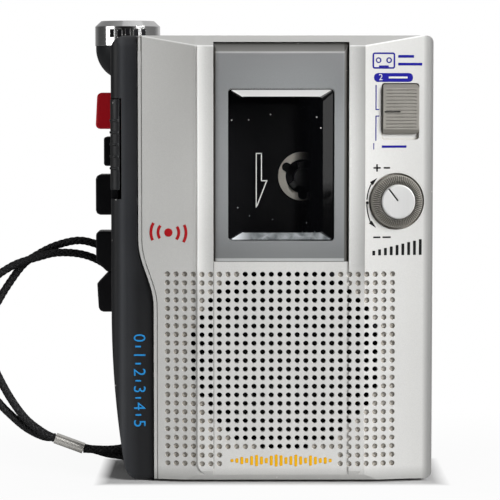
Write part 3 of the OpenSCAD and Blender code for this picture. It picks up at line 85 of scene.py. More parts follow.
class Side(Enum):
    """Directions of a face: its rightward axis, seen from outside; up is +Z."""

    FRONT = (1.0, 0.0)
    LEFT_FACET = (math.cos(FACET_TILT), -math.sin(FACET_TILT))
    RIGHT_FACET = (math.cos(FACET_TILT), math.sin(FACET_TILT))
    LEFT = (0.0, -1.0)

    def place(self, origin: Vector) -> Matrix:
        """Gives the matrix that lays a drawing in X and Y onto this face.

        Args:
            origin: the point of the face where the drawing's origin goes, in metres.

        Returns:
            The matrix from the drawing to the recorder's frame.
        """
        right = Vector((self.value[0], self.value[1], 0.0))
        up = Vector((0.0, 0.0, 1.0))
        out = right.cross(up)
        turn = Matrix((right, up, out)).transposed().to_4x4()
        return Matrix.Translation(origin) @ turn


def deselect() -> None:
    """Leaves edit mode and deselects every object."""
    if bpy.context.object is not None and bpy.context.object.mode != "OBJECT":
        bpy.ops.object.mode_set(mode="OBJECT")
    bpy.ops.object.select_all(action="DESELECT")


def pick(*objects: bpy.types.Object) -> None:
    """Selects only the given objects and makes the first one active.

    Args:
        objects: the objects to select.
    """
    deselect()
    for item in objects:
        item.select_set(True)
    bpy.context.view_layer.objects.active = objects[0]


@contextmanager
def editing(obj: bpy.types.Object, everything: bool = False) -> Iterator[bmesh.types.BMesh]:
    """Opens edit mode on one object.

    Args:
        obj: the mesh object to edit.
        everything: starts with all of it selected, not with nothing.

    Returns:
        The object's edit mesh, for picking faces and edges by their place.
    """
    pick(obj)
    bpy.ops.object.mode_set(mode="EDIT")
    bpy.ops.mesh.select_all(action="SELECT" if everything else "DESELECT")
    yield bmesh.from_edit_mesh(obj.data)
    bpy.ops.object.mode_set(mode="OBJECT")


def select_verts(obj: bpy.types.Object, test: Callable[[Vector], bool]) -> None:
    """Selects the vertices, and what they close, whose place passes the test.

    Args:
        obj: the mesh object in edit mode.
        test: tells from a vertex's place whether it is meant.
    """
    bpy.ops.mesh.select_mode(type="VERT")
    mesh = bmesh.from_edit_mesh(obj.data)
    for vert in mesh.verts:
        vert.select_set(test(vert.co))
    mesh.select_flush_mode()
    bmesh.update_edit_mesh(obj.data)


def apply_modifier(obj: bpy.types.Object, kind: str, **values: object) -> None:
    """Adds a modifier with the given values and applies it to the mesh.

    Args:
        obj: the mesh object.
        kind: the modifier's type.
        values: its settings.
    """
    pick(obj)
    modifier = obj.modifiers.new(kind.lower(), kind)
    for key, value in values.items():
        setattr(modifier, key, value)
    bpy.ops.object.modifier_apply(modifier=modifier.name)


def soften(obj: bpy.types.Object, width: float, segments: int, angle: float) -> None:
    """Rounds the edges that turn by more than an angle in degrees; the width is in millimetres."""
    limit = math.radians(angle)
    apply_modifier(obj, "BEVEL", width=width * MM, segments=segments, limit_method="ANGLE", angle_limit=limit)


def close_up() -> None:
    """Points all faces of the mesh in edit mode outwards."""
    bpy.ops.mesh.select_all(action="SELECT")
    bpy.ops.mesh.normals_make_consistent(inside=False)


def settle(obj: bpy.types.Object, name: str, matrix: Matrix | None = None) -> bpy.types.Object:
    """Names a finished piece and moves its place into its mesh.

    Args:
        obj: the piece.
        name: its name in the model.
        matrix: where the piece goes, or None where it is in place.

    Returns:
        The same object, at the origin, unturned and unscaled.
    """
    if matrix is not None:
        obj.matrix_world = matrix @ obj.matrix_world
    pick(obj)
    bpy.ops.object.transform_apply(location=True, rotation=True, scale=True)
    obj.name = name
    obj.data.name = name
    return obj


def block(low: Vector, high: Vector, soft: float) -> bpy.types.Object:
    """Models a box with rounded edges from two corners.

    Args:
        low: the lower corner in millimetres.
        high: the upper corner in millimetres.
        soft: radius of its edges in millimetres.

    Returns:
        The box.
    """
    deselect()
    bpy.ops.mesh.primitive_cube_add(size=MM)
    obj = bpy.context.object
    with editing(obj, everything=True):
        bpy.ops.transform.resize(value=tuple(high - low))
        bpy.ops.transform.translate(value=tuple((low + high) / 2 * MM))
        if soft > 0:
            bpy.ops.mesh.bevel(offset=soft * MM, segments=3, affect="EDGES")
    return obj


def sheet(w: float, h: float, r: float = 0.0) -> bpy.types.Object:
    """Draws a flat rectangle.

    Args:
        w, h: its width and height in millimetres.
        r: radius of its corners in millimetres.

    Returns:
        The rectangle about the origin.
    """
    deselect()
    bpy.ops.mesh.primitive_plane_add(size=MM)
    obj = bpy.context.object
    with editing(obj, everything=True):
        bpy.ops.transform.resize(value=(w, h, 1.0))
        if r > 0:
            bpy.ops.mesh.bevel(offset=r * MM, segments=4, affect="VERTICES")
    return obj


def polygon(sides: int, x: float, y: float) -> bpy.types.Object:
    """Draws a flat polygon with even sides.

    Args:
        sides: how many it has.
        x, y: its radius in millimetres in each direction.

    Returns:
        The polygon about the origin.
    """
    deselect()
    bpy.ops.mesh.primitive_circle_add(vertices=sides, radius=MM, fill_type="NGON")
    obj = bpy.context.object
    with editing(obj, everything=True):
        bpy.ops.transform.resize(value=(x, y, 1.0))
    return obj


def join(parts: Sequence[bpy.types.Object]) -> bpy.types.Object:
    """Joins parts into the first of them.

    Args:
        parts: the mesh objects.

    Returns:
        The first part, with all the others in it.
    """
    pick(*parts)
    if len(parts) > 1:
        bpy.ops.object.join()
    return parts[0]


def deliver(
    obj: bpy.types.Object, body: Body, material: bpy.types.Material
) -> bpy.types.Object:
    """Dresses a finished piece, hangs it on its body and reports it.

    Args:
        obj: the piece.
        body: the body that it moves with.
        material: its finish.

    Returns:
        The same object.
    """
    obj.data.materials.clear()
    obj.data.materials.append(material)
    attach(obj, body.value)
    LOG.info("piece %s rides on %s with %d faces", obj.name, body.value, len(obj.data.polygons))
    return obj


class Tree:
    """Short way to place and join the nodes of one shader tree."""

    def __init__(self, tree: bpy.types.NodeTree) -> None:
        """Starts from a tree, emptied of its nodes."""
        self.tree = tree
        self.tree.nodes.clear()

    def add(
        self, kind: str, links: dict[str | int, object] | None = None, **values: object
    ) -> bpy.types.Node:
        """Adds a node.

        Args:
            kind: the node's type without the word ShaderNode.
            links: for each input, a socket to link or a value to write.
            values: attributes of the node itself.

        Returns:
            The new node.
        """
        node = self.tree.nodes.new(kind if kind.startswith("NodeGroup") else "ShaderNode" + kind)
        for key, value in values.items():
            setattr(node, key, value)
        for key, value in (links or {}).items():
            if isinstance(value, Socket):
                self.tree.links.new(value, node.inputs[key])
            else:
                node.inputs[key].default_value = value
        return node

    def place(self) -> Socket:
        """Adds the piece's own coordinates and returns them."""
        return self.add("TexCoord").outputs["Object"]

    def split(self, vector: Socket) -> Outputs:
        """Splits a vector and returns its outputs X, Y and Z."""
        return self.add("SeparateXYZ", {0: vector}).outputs

    def maths(self, what: str, first: object, second: object = 0.0, clamp: bool = False) -> Socket:
        """Adds a math node and returns its output."""
        return self.add("Math", {0: first, 1: second}, operation=what, use_clamp=clamp).outputs[0]

    def blend(self, factor: object, first: object, second: object) -> Socket:
        """Mixes two colours and returns the result."""
        return self.add("Mix", {0: factor, 6: first, 7: second}, data_type="RGBA").outputs[2]

    def spread(self, value: object, low: float, high: float, to_low: float, to_high: float) -> Socket:
        """Maps a value from one range to another, held at its ends, and returns the result."""
        values = {0: value, 1: low, 2: high, 3: to_low, 4: to_high}
        return self.add("MapRange", values, clamp=True).outputs[0]

    def ramp(self, value: object, low: float, high: float) -> Socket:
        """Maps a value to 0 at its low end and 1 at its high end and returns the result."""
        return self.spread(value, low, high, 0.0, 1.0)

    def noise(self, scale: object, detail: float, place: Socket | None = None, **inputs: object) -> Socket:
        """Adds noise, about the piece's own coordinates unless others are given, and returns its height."""
        values = {"Vector": place or self.place(), "Scale": scale, "Detail": detail, **inputs}
        return self.add("TexNoise", values).outputs[0]

    def group(self, tree: bpy.types.NodeTree, **values: object) -> Outputs:
        """Places a node group with its own values and returns its outputs."""
        return self.add("Group", values, node_tree=tree).outputs


def new_material(name: str) -> tuple[bpy.types.Material, Tree]:
    """Makes a material without nodes.

    Args:
        name: the material's name.

    Returns:
        The material and its empty tree.
    """
    material = bpy.data.materials.new(name)
    material.use_nodes = True
    return material, Tree(material.node_tree)


class Effects:
    """Shader node groups that several finishes share, each built once."""

    def __init__(self) -> None:
        """Builds every group."""
        self.grain = self._make("moulded_grain", {"Scale": 4000.0, "Tone": 0.1}, self._grain)
        self.smudge = self._make("handling_smudges", {"Scale": 60.0}, self._smudge)
        self.edge = self._make("rubbed_edges", {"Radius": 0.0003, "Breakup": 300.0}, self._edge)
        self.crevice = self._make("hollow_dirt", {"Distance": 0.0012, "Breakup": 90.0}, self._crevice)
        self.flake = self._make("metal_flakes", {"Scale": 7000.0, "Tone": 0.1}, self._flake)
        self.brushed = self._make("polish_lines", {"Scale": 3000.0, "Tone": 0.2}, self._brushed)
        self.specks = self._make("dust_specks", {"Scale": 900.0, "Amount": 0.08}, self._specks)
        self.braid = self._make("braided_yarns", {"Yarns": 40.0, "Tone": 0.5}, self._braid)

    def _make(
        self, name: str, inputs: dict[str, float], build: Callable[[Tree, Outputs], Sockets]
    ) -> bpy.types.NodeTree:
        """Makes a group with number sockets, or a vector for a normal.

        Args:
            name: the group's name.
            inputs: each input's name and default.
            build: adds the group's nodes behind its inputs and returns its outputs by name.

        Returns:
            The finished group.
        """
        tree = bpy.data.node_groups.new(name, "ShaderNodeTree")
        t = Tree(tree)
        for key, value in inputs.items():
            socket = tree.interface.new_socket(key, in_out="INPUT", socket_type="NodeSocketFloat")
            socket.default_value = value
        results = build(t, t.add("NodeGroupInput").outputs)
        for key in results:
            kind = "NodeSocketVector" if key == "Normal" else "NodeSocketFloat"
            tree.interface.new_socket(key, in_out="OUTPUT", socket_type=kind)
        t.add("NodeGroupOutput", results)
        return tree

    def _toned(self, t: Tree, height: Socket, swing: Socket, amount: Socket) -> Sockets:
        """Returns a height with a tone that swings about 1."""
        return {"Tone": t.maths("ADD", t.maths("MULTIPLY", swing, amount), 1.0), "Height": height}

    def _about_half(self, t: Tree, height: Socket, given: Outputs) -> Sockets:
        """Returns a height from 0 to 1 with the tone that its distance from a half gives."""
        return self._toned(t, height, t.maths("SUBTRACT", height, 0.5), given["Tone"])

    def _cells(self, t: Tree, given: Outputs) -> tuple[Socket, Outputs]:
        """Adds scattered cells and returns the distance to their middles and two chance values of each."""
        cells = t.add("TexVoronoi", {"Vector": t.place(), "Scale": given["Scale"]}).outputs
        return cells["Distance"], t.add("SeparateColor", {0: cells["Color"]}).outputs

    def _grain(self, t: Tree, given: Outputs) -> Sockets:
        """Fine moulded grain: a tone about 1 and a height."""
        return self._about_half(t, t.noise(given["Scale"], 3.0), given)

    def _smudge(self, t: Tree, given: Outputs) -> Sockets:
        """Soft patches left by handling: a mask from 0 to 1."""
        return {"Mask": t.ramp(t.noise(given["Scale"], 5.0, Distortion=0.6), 0.35, 0.7)}

    def _edge(self, t: Tree, given: Outputs) -> Sockets:
        """Rubbed edges.

        Args:
            t: the group's tree.
            given: the group's inputs.

        Returns:
            A mask that is 1 where the surface turns sharply, and the softened normal.
        """
        soft = t.add("Bevel", {"Radius": given["Radius"]}, samples=4).outputs[0]
        plain = t.add("NewGeometry").outputs["Normal"]
        dot = t.add("VectorMath", {0: soft, 1: plain}, operation="DOT_PRODUCT").outputs["Value"]
        bent = t.ramp(t.maths("SUBTRACT", 1.0, dot), 0.01, 0.2)
        broken = t.ramp(t.noise(given["Breakup"], 4.0), 0.42, 0.62)
        return {"Mask": t.maths("MULTIPLY", bent, broken, True), "Normal": soft}

    def _crevice(self, t: Tree, given: Outputs) -> Sockets:
        """Dirt that gathers in hollows, together with painted shade there.

        Args:
            t: the group's tree.
            given: the group's inputs.

        Returns:
            A mask of dirt and painted shade that is 1 inside them, and a mask of painted shade for their
            deepest parts.
        """
        # Ambient occlusion finds the hollows, so the darkening it drives is partly painted shade.
        shade = t.add("AmbientOcclusion", {"Distance": given["Distance"]}, samples=6).outputs["AO"]
        hollow = t.spread(shade, 0.4, 0.66, 1.0, 0.0)
        uneven = t.spread(t.noise(given["Breakup"], 3.0), 0.3, 0.7, 0.6, 1.0)
        mask = t.maths("MULTIPLY", hollow, uneven, True)
        return {"Mask": mask, "Deep": t.spread(shade, 0.18, 0.4, 1.0, 0.0)}

    def _flake(self, t: Tree, given: Outputs) -> Sockets:
        """Metal flakes in paint: a tone about 1 and a height for each flake."""
        return self._about_half(t, self._cells(t, given)[1][0], given)

    def _brushed(self, t: Tree, given: Outputs) -> Sockets:
        """Fine lines along Z, as left by polishing: a tone about 1 and a height."""
        drawn = t.add("Mapping", {0: t.place(), 3: (1.0, 1.0, 0.03)}).outputs[0]
        return self._about_half(t, t.noise(given["Scale"], 2.0, drawn), given)

    def _specks(self, t: Tree, given: Outputs) -> Sockets:
        """Scattered dust.

        Args:
            t: the group's tree.
            given: the group's inputs.

        Returns:
            A mask that is 1 on a few small specks.
        """
        distance, chance = self._cells(t, given)
        kept = t.maths("LESS_THAN", chance[1], given["Amount"])
        return {"Mask": t.maths("MULTIPLY", t.maths("LESS_THAN", distance, 0.22), kept)}

    def _braid(self, t: Tree, given: Outputs) -> Sockets:
        """Yarns of a braided cord, along its own UV map.

        Args:
            t: the group's tree.
            given: the group's inputs.

        Returns:
            A tone and a height.
        """
        parts = t.split(t.add("UVMap", uv_map="cord").outputs[0])
        around, along = (t.maths("MULTIPLY", parts[axis], given["Yarns"]) for axis in "XY")
        lean, counter = (t.maths("SINE", t.maths(way, around, along)) for way in ("ADD", "SUBTRACT"))
        height = t.maths("MAXIMUM", lean, counter)
        return self._toned(t, height, height, given["Tone"])


class Pattern(Enum):
    """Fine surface pattern of a finish."""

    GRAIN = "grain"
    FLAKE = "flake"
    BRUSHED = "brushed"
    BRAID = "braid"


@dataclass(frozen=True)
class Zone:
    """Part of a piece with a colour of its own or with painted light and shade: along an axis, or beyond a
    radius about a Y axis.

    The colour grows from start to full, ends at until and fades out below the height above.
    A fold lets it follow faces that fall away to both sides: a middle, a half width and the rise beyond.
    """

    colour: Colour
    start: float
    full: float
    axis: str = "Z"
    centre: Spot | None = None
    amount: float = 1.0
    until: float | None = None
    above: float | None = None
    fade: float = 9.0
    fold: Point | None = None

    def mask(self, t: Tree) -> Socket:
        """Adds the nodes of the zone's mask; places are in millimetres.

        Args:
            t: the material's tree.

        Returns:
            The mask, from 0 to the zone's amount.
        """
        parts = t.split(t.place())
        value = parts[self.axis]
        if self.centre is not None:
            away = [
                t.maths("POWER", t.maths("SUBTRACT", parts[axis], spot * MM), 2.0)
                for axis, spot in zip("XZ", self.centre)
            ]
            value = t.maths("SQRT", t.maths("ADD", *away))
        if self.fold is not None:
            middle, half, rise = self.fold
            side = t.maths("ABSOLUTE", t.maths("SUBTRACT", parts["X"], middle * MM))
            beyond = t.maths("MAXIMUM", t.maths("SUBTRACT", side, half * MM), 0.0)
            value = t.maths("SUBTRACT", value, t.maths("MULTIPLY", beyond, rise))
        mask = t.spread(value, self.start * MM, self.full * MM, 0.0, self.amount)
        if self.until is not None:
            test = "LESS_THAN" if self.full > self.start else "GREATER_THAN"
            mask = t.maths("MULTIPLY", mask, t.maths(test, value, self.until * MM))
        if self.above is not None:
            shown = t.ramp(parts["Z"], (self.above - self.fade) * MM, self.above * MM)
            mask = t.maths("MULTIPLY", mask, shown)
        return mask


@dataclass(frozen=True)
class Finish:
    """One finish: its colour, shine, fine pattern, wear, dirt with painted shade in hollows, and zones of its
    own colours and of painted light and shade.
    """

    name: str
    colour: Colour
    roughness: float
    metallic: float = 0.0
    coat: float = 0.0
    specular: float = 0.5
    pattern: Pattern = Pattern.GRAIN
    scale: float = 4000.0
    tone: float = 0.12
    bump: float = 0.12
    bump_depth: float = 0.00002
    smudge: float = 0.12
    worn: Colour | None = None
    soft: float = 0.00022
    worn_amount: float = 0.4
    dirt: Colour | None = None
    dirt_amount: float = 0.5
    dirt_distance: float = 0.0012
    dust: float = 0.0
    zones: tuple[Zone, ...] = ()

    def build(self, effects: Effects) -> bpy.types.Material:
        """Makes the material.

        Args:
            effects: the shared node groups.

        Returns:
            The finished material.
        """
        material, t = new_material(self.name)
        size = "Yarns" if self.pattern is Pattern.BRAID else "Scale"
        fine = t.group(getattr(effects, self.pattern.value), **{"Tone": self.tone, size: self.scale})
        edge = t.group(effects.edge, Radius=self.soft)
        tint = t.add("VectorMath", {0: self.colour, "Scale": fine["Tone"]}, operation="SCALE").outputs[0]
        half = self.smudge / 2
        hand = t.group(effects.smudge, Scale=HAND_SCALE)["Mask"]
        bump = t.add("Bump", {
            "Height": fine["Height"], "Strength": self.bump, "Distance": self.bump_depth,
            "Normal": edge["Normal"],
        })
        shader = t.add("BsdfPrincipled", {
            "Base Color": self._layers(t, effects, tint, edge["Mask"]),
            "Roughness": t.spread(hand, 0.0, 1.0, self.roughness - half, self.roughness + half),
            "Normal": bump.outputs[0], "Metallic": self.metallic, "Coat Weight": self.coat,
            "Specular IOR Level": self.specular,
        })
        t.add("OutputMaterial", {0: shader.outputs[0]})
        material.diffuse_color = (*self.colour, 1.0)
        return material

    def _layers(self, t: Tree, effects: Effects, colour: Socket, edges: Socket) -> Socket:
        """Lays zones of its own colours and of painted light and shade, then wear, dirt with painted shade in
        hollows, and dust over the colour.

        Args:
            t: the material's tree.
            effects: the shared node groups.
            colour: the colour below them all.
            edges: the mask of the rubbed edges.

        Returns:
            The colour with its layers.
        """
        layers = [(zone.mask(t), zone.colour) for zone in self.zones]
        if self.worn is not None:
            layers.append((t.maths("MULTIPLY", edges, self.worn_amount), self.worn))
        if self.dirt is not None:
            hollow = t.group(effects.crevice, Distance=self.dirt_distance)
            # Hollows take the dirt colour as dirt and painted shade; their deepest parts take it darkened by
            # DEEP_SHADE as painted shade.
            deepest = tuple(part * DEEP_SHADE for part in self.dirt)
            for mask, tint in ((hollow["Mask"], self.dirt), (hollow["Deep"], deepest)):
                layers.append((t.maths("MULTIPLY", mask, self.dirt_amount), tint))
        if self.dust > 0:
            dots = t.group(effects.specks, Amount=self.dust)["Mask"]
            layers.append((t.maths("MULTIPLY", dots, DUST_COVER), DUST))
        for share, tint in layers:
            colour = t.blend(share, colour, (*tint, 1.0))
        return colour


@dataclass(frozen=True)
class SmokedLens:
    """Dark clear plastic of the tape window, with painted reflections on its sloped ends and painted shade
    towards the right.
    """

    name: str = "smoked_clear_plastic"
    colour: Colour = (0.0015, 0.0016, 0.002)
    # Painted reflections of the upper and lower sloped ends, and a painted glint on the lower one.
    upper: Colour = (0.96, 0.96, 0.95)
    lower: Colour = (0.085, 0.095, 0.1)
    glint: Colour = (0.8, 0.83, 0.86)
    middle_z: float = 82.8
    solid: float = 0.04
    # Painted shade towards the right: how opaque it gets and where it grows.
    right_shade: float = 0.97
    right_shade_x: Spot = (5.5, 10.5)
    glint_x: Spot = (-5.0, -10.5)

    def build(self, effects: Effects) -> bpy.types.Material:
        """Makes the material.

        Args:
            effects: the shared node groups.

        Returns:
            The finished material.
        """
        material, t = new_material(self.name)
        normal = t.split(t.add("NewGeometry").outputs["Normal"])
        slope = t.ramp(t.maths("ABSOLUTE", normal["Z"]), 0.3, 0.5)
        facing = t.maths("LESS_THAN", normal["Y"], -0.2)
        # The sloped ends that face forwards turn opaque and carry the painted reflections.
        ends = t.maths("MULTIPLY", slope, facing)
        dots = t.group(effects.specks, Scale=1000.0, Amount=0.012)["Mask"]
        dust = t.maths("MULTIPLY", t.maths("MULTIPLY", dots, facing), DUST_COVER)
        shown = t.maths("MAXIMUM", ends, dust)
        hand = t.group(effects.smudge, Scale=420.0)["Mask"]
        # Painted glint towards the left of the lower end, with pale smudges, over its dark blue-grey painted
        # reflection; the upper end is painted pale.
        glint = Zone(self.glint, *self.glint_x, "X").mask(t)
        cloud = t.maths("MAXIMUM", glint, t.maths("MULTIPLY", hand, 0.3))
        lower = t.blend(cloud, (*self.lower, 1.0), (*self.glint, 1.0))
        upper = Zone(self.upper, self.middle_z, self.middle_z + 0.5).mask(t)
        pale = t.blend(upper, lower, (*self.upper, 1.0))
        # Painted shade: the lens turns almost opaque black towards the right.
        mask = Zone(self.colour, *self.right_shade_x, "X", amount=self.right_shade).mask(t)
        rough = t.spread(hand, 0.0, 1.0, 0.03, 0.08)
        shader = t.add("BsdfPrincipled", {
            "IOR": 1.46, "Specular IOR Level": 0.35,
            "Base Color": t.blend(shown, (*self.colour, 1.0), pale),
            "Roughness": t.maths("ADD", rough, t.maths("MULTIPLY", ends, 0.3)),
            "Alpha": t.maths("MAXIMUM", shown, t.maths("MAXIMUM", mask, self.solid)),
        })
        t.add("OutputMaterial", {0: shader.outputs[0]})
        return material


moulded = partial(Finish, scale=5200.0, tone=0.25)
polished = partial(Finish, metallic=1.0, pattern=Pattern.BRUSHED)
ink = partial(Finish, roughness=0.7, specular=0.12, scale=7000.0, tone=0.2, bump=0.1)
reel_plastic = partial(Finish, colour=(0.006, 0.006, 0.006), roughness=0.45, scale=4200.0, bump=0.15)


def pale_ring(z: float) -> tuple[Zone]:
    """Returns the pale outer ring of a reel at a height."""
    return (Zone((0.8, 0.75, 0.66), 4.2, 4.3, centre=(REEL_X, z)),)


class Finishes:
    """Every finish of the recorder, built once."""

    SILVER = Finish(
        "satin_silver_paint", (0.63, 0.628, 0.612), 0.52, metallic=0.2, pattern=Pattern.FLAKE, scale=9000.0,
        # Tan dirt and painted shade gather in the grille's dimples and in creases.
        tone=0.12, bump=0.1, worn=(0.74, 0.74, 0.73), worn_amount=0.4, dirt=(0.43, 0.36, 0.265),
        dirt_amount=0.95, dirt_distance=0.0009, dust=0.008, smudge=0.08,
        zones=(
            # Painted shade: darker towards the right across the right facet, and darker towards the bottom
            # edge.
            Zone((0.3, 0.3, 0.295), 24.0, 41.0, "X", amount=0.3),
            Zone((0.3, 0.3, 0.29), 4.0, 1.2, amount=0.7),
            # Painted shade on the left facet: all of it a little darker, and its upper part darker towards
            # the rib, fading out downwards.
            Zone((0.3, 0.295, 0.27), -19.2, -20.2, "X", amount=0.12),
            Zone((0.3, 0.296, 0.28), -34.5, -22.0, "X", amount=0.36, until=-19.42, above=112.0, fade=52.0),
            # Painted highlights: a light band on the facet beside the left rib, over the rib's real shadow,
            # and the left rib lighter on its left side.
            Zone((0.98, 0.975, 0.955), -20.15, -19.6, "X", amount=0.95, until=-19.42, above=57.0),
            Zone((0.98, 0.975, 0.955), -17.2, -19.4, "X", amount=0.8, until=-19.42, above=57.0),
            # Painted shade: both ribs darker towards their right edges.
            Zone((0.4, 0.4, 0.39), -17.2, -15.2, "X", amount=0.6, until=-15.15, above=57.0),
            Zone((0.3, 0.3, 0.293), 20.3, 24.0, "X", amount=0.78, until=24.12, above=57.0),
            # Painted shade on the top bevel, following the folds of the facets, and a painted highlight line
            # along its lower edge.
            Zone((0.535, 0.533, 0.52), 113.55, 113.8, amount=0.95, fold=LID_FOLD),
            Zone((0.98, 0.98, 0.97), 113.2, 113.5, amount=0.7, until=113.66, fold=LID_FOLD),
            # Painted shade on the rounded right edge; the side wall beyond it is set back to plain silver.
            Zone((0.18, 0.18, 0.176), 39.2, 40.8, "X", amount=0.9),
            Zone((0.6, 0.6, 0.585), 41.85, 41.97, "X"),
        ),
    )
    CHARCOAL = moulded(
        "moulded_charcoal", (0.0145, 0.0155, 0.0178), 0.46, bump=0.25, specular=0.28,
        worn=(0.09, 0.092, 0.095), worn_amount=0.5, dirt=(0.045, 0.042, 0.038), dirt_amount=0.3, dust=0.006,
    )
    PANEL = moulded(
        "moulded_charcoal_panel", (0.0245, 0.0255, 0.0285), 0.42, bump=0.25, specular=0.3,
        worn=(0.09, 0.092, 0.095), worn_amount=0.5, dust=0.008,
        zones=(
            # Painted light and shade: a lighter upright band as a painted highlight, darker to its left, and
            # darker towards the lid on the right.
            Zone((0.046, 0.048, 0.052), -37.8, -39.0, "X", amount=0.85),
            Zone((0.011, 0.0115, 0.013), -39.3, -40.3, "X", amount=0.8),
            Zone((0.007, 0.0072, 0.008), -37.4, -34.8, "X", amount=0.8),
        ),
    )
    BLACK = moulded(
        "moulded_black", (0.012, 0.0125, 0.014), 0.4, bump=0.2, worn=(0.07, 0.072, 0.076), worn_amount=0.55,
        dust=0.02,
    )
    INNER_BLACK = Finish(
        "inner_black", (0.004, 0.004, 0.0055), 0.6, scale=3000.0, tone=0.3, bump=0.3, specular=0.12
    )
    KEY_BLACK = moulded(
        "key_black", (0.004, 0.004, 0.0055), 0.36, bump=0.15, specular=0.35, worn=(0.04, 0.042, 0.046),
        worn_amount=0.5, soft=0.0004, dust=0.01,
    )
    RED = moulded(
        "moulded_red", (0.93, 0.017, 0.032), 0.36, tone=0.12, specular=0.35, soft=0.0006,
        worn=(0.6, 0.06, 0.05), worn_amount=0.35,
    )
    BEZEL = Finish(
        "painted_bezel_grey", (0.24, 0.249, 0.254), 0.34, metallic=0.2, pattern=Pattern.FLAKE, scale=9000.0,
        tone=0.1, bump=0.08, worn=(0.42, 0.42, 0.41), worn_amount=0.4, dust=0.012,
        zones=(
            # Painted light and shade: lighter towards the top, a painted highlight line near it, a dark band
            # over the top edge as painted reflection, darker towards the bottom, a painted highlight line
            # along the bottom edge, dark painted reflection along the right edge and painted shade along the
            # left edge.
            Zone((0.268, 0.273, 0.278), 104.0, 111.5), Zone((0.5, 0.5, 0.5), 111.5, 111.8),
            Zone((0.2, 0.198, 0.19), 111.9, 112.2), Zone((0.09, 0.09, 0.085), 112.4, 114.2),
            Zone((0.2, 0.207, 0.21), 66.0, 60.0), Zone((0.46, 0.47, 0.47), 58.7, 58.5),
            Zone((0.06, 0.058, 0.052), 18.5, 18.8, "X"), Zone((0.1, 0.1, 0.1), -14.6, -14.9, "X"),
        ),
    )
    GREY = moulded(
        "warm_grey_plastic", (0.24, 0.229, 0.204), 0.4, metallic=0.25, tone=0.15, bump=0.15,
        worn=(0.5, 0.48, 0.44), worn_amount=0.6, soft=0.0002, dirt=(0.03, 0.027, 0.024), dirt_amount=0.8,
        dirt_distance=0.0005,
    )
    # Its hollows take near-black dirt and painted shade, which darkens the grooves between the ribs.
    RIBBED = moulded(
        "ribbed_grey_plastic", (0.36, 0.345, 0.31), 0.4, metallic=0.25, tone=0.15, bump=0.15,
        worn=(0.5, 0.48, 0.44), worn_amount=0.5, soft=0.00012, dirt=(0.012, 0.011, 0.009), dirt_amount=1.0,
        dirt_distance=0.0007,
    )
    DIAL_METAL = polished(
        "turned_dial_metal", (0.56, 0.56, 0.555), 0.42, metallic=0.2, scale=2600.0, tone=0.08, bump=0.06,
        soft=0.0003,
    )
    CHROME = polished(
        "bright_plating", (0.86, 0.86, 0.86), 0.12, scale=2400.0, tone=0.08, bump=0.03,
        dirt=(0.03, 0.029, 0.027), dirt_amount=0.6, dirt_distance=0.0006, smudge=0.08,
    )
    NICKEL = Finish(
        "drawn_nickel", (0.9, 0.875, 0.82), 0.36, metallic=0.9, scale=3000.0, tone=0.06, bump=0.0,
        soft=0.00001, smudge=0.06,
    )
    STEEL = polished("drawn_steel", (0.5, 0.5, 0.51), 0.3, scale=2000.0, tone=0.2, bump=0.1)
    BRASS = polished("turned_brass", (0.62, 0.45, 0.18), 0.3, scale=2000.0, tone=0.2, bump=0.1, smudge=0.2)
    RUBBER = Finish("drive_rubber", (0.018, 0.018, 0.018), 0.75, scale=2500.0, tone=0.4, bump=0.4, dust=0.03)
    CLOTH = Finish("dust_cloth_weave", (0.006, 0.006, 0.0065), 0.9, scale=6000.0, tone=0.9, bump=0.8)
    SPEAKER_STEEL = Finish(
        "stamped_speaker_steel", (0.28, 0.28, 0.29), 0.4, metallic=0.8, scale=2500.0, tone=0.15, bump=0.1
    )
    MAGNET = Finish(
        "sintered_magnet", (0.06, 0.06, 0.064), 0.55, metallic=0.2, scale=3500.0, tone=0.4, bump=0.4
    )
    PAPER = Finish("cone_paper", (0.02, 0.02, 0.02), 0.85, scale=2600.0, tone=0.6, bump=0.6)
    BOARD = Finish("coated_board", (0.04, 0.13, 0.055), 0.35, scale=1200.0, tone=0.25, bump=0.15, coat=0.3)
    MOTOR = polished("plated_motor_can", (0.46, 0.46, 0.47), 0.32, scale=1600.0, tone=0.15, bump=0.08)
    SUPPLY_REEL = reel_plastic("supply_reel_plastic", zones=pale_ring(SUPPLY_Z))
    TAKEUP_REEL = reel_plastic("takeup_reel_plastic", zones=pale_ring(TAKEUP_Z))
    CORD = Finish(
        "braided_cord_black", (0.0055, 0.0055, 0.0065), 0.58, pattern=Pattern.BRAID, scale=37.7, tone=0.6,
        bump=0.6, bump_depth=0.0001, specular=0.4, dust=0.02,
    )
    INK_RED = ink("ink_red", (0.4, 0.008, 0.012))
    INK_BLUE = ink("ink_blue", (0.022, 0.25, 0.6))
    INK_NAVY = ink("ink_navy", (0.012, 0.011, 0.26))
    INK_AMBER = ink("ink_amber", (0.74, 0.39, 0.006))
    INK_BLACK = ink("ink_black", (0.008, 0.008, 0.008))
    INK_WHITE = ink("ink_white", (0.75, 0.75, 0.73), tone=0.15)
    LENS = SmokedLens()

    def __init__(self) -> None:
        """Builds the shared groups; materials are made when first asked for."""
        self.effects = Effects()
        self._made: dict[str, bpy.types.Material] = {}

    def get(self, finish: Finish | SmokedLens) -> bpy.types.Material:
        """Looks up a finish's material, made on first use.

        Args:
            finish: the finish.

        Returns:
            Its material.
        """
        if finish.name not in self._made:
            self._made[finish.name] = finish.build(self.effects)
        return self._made[finish.name]


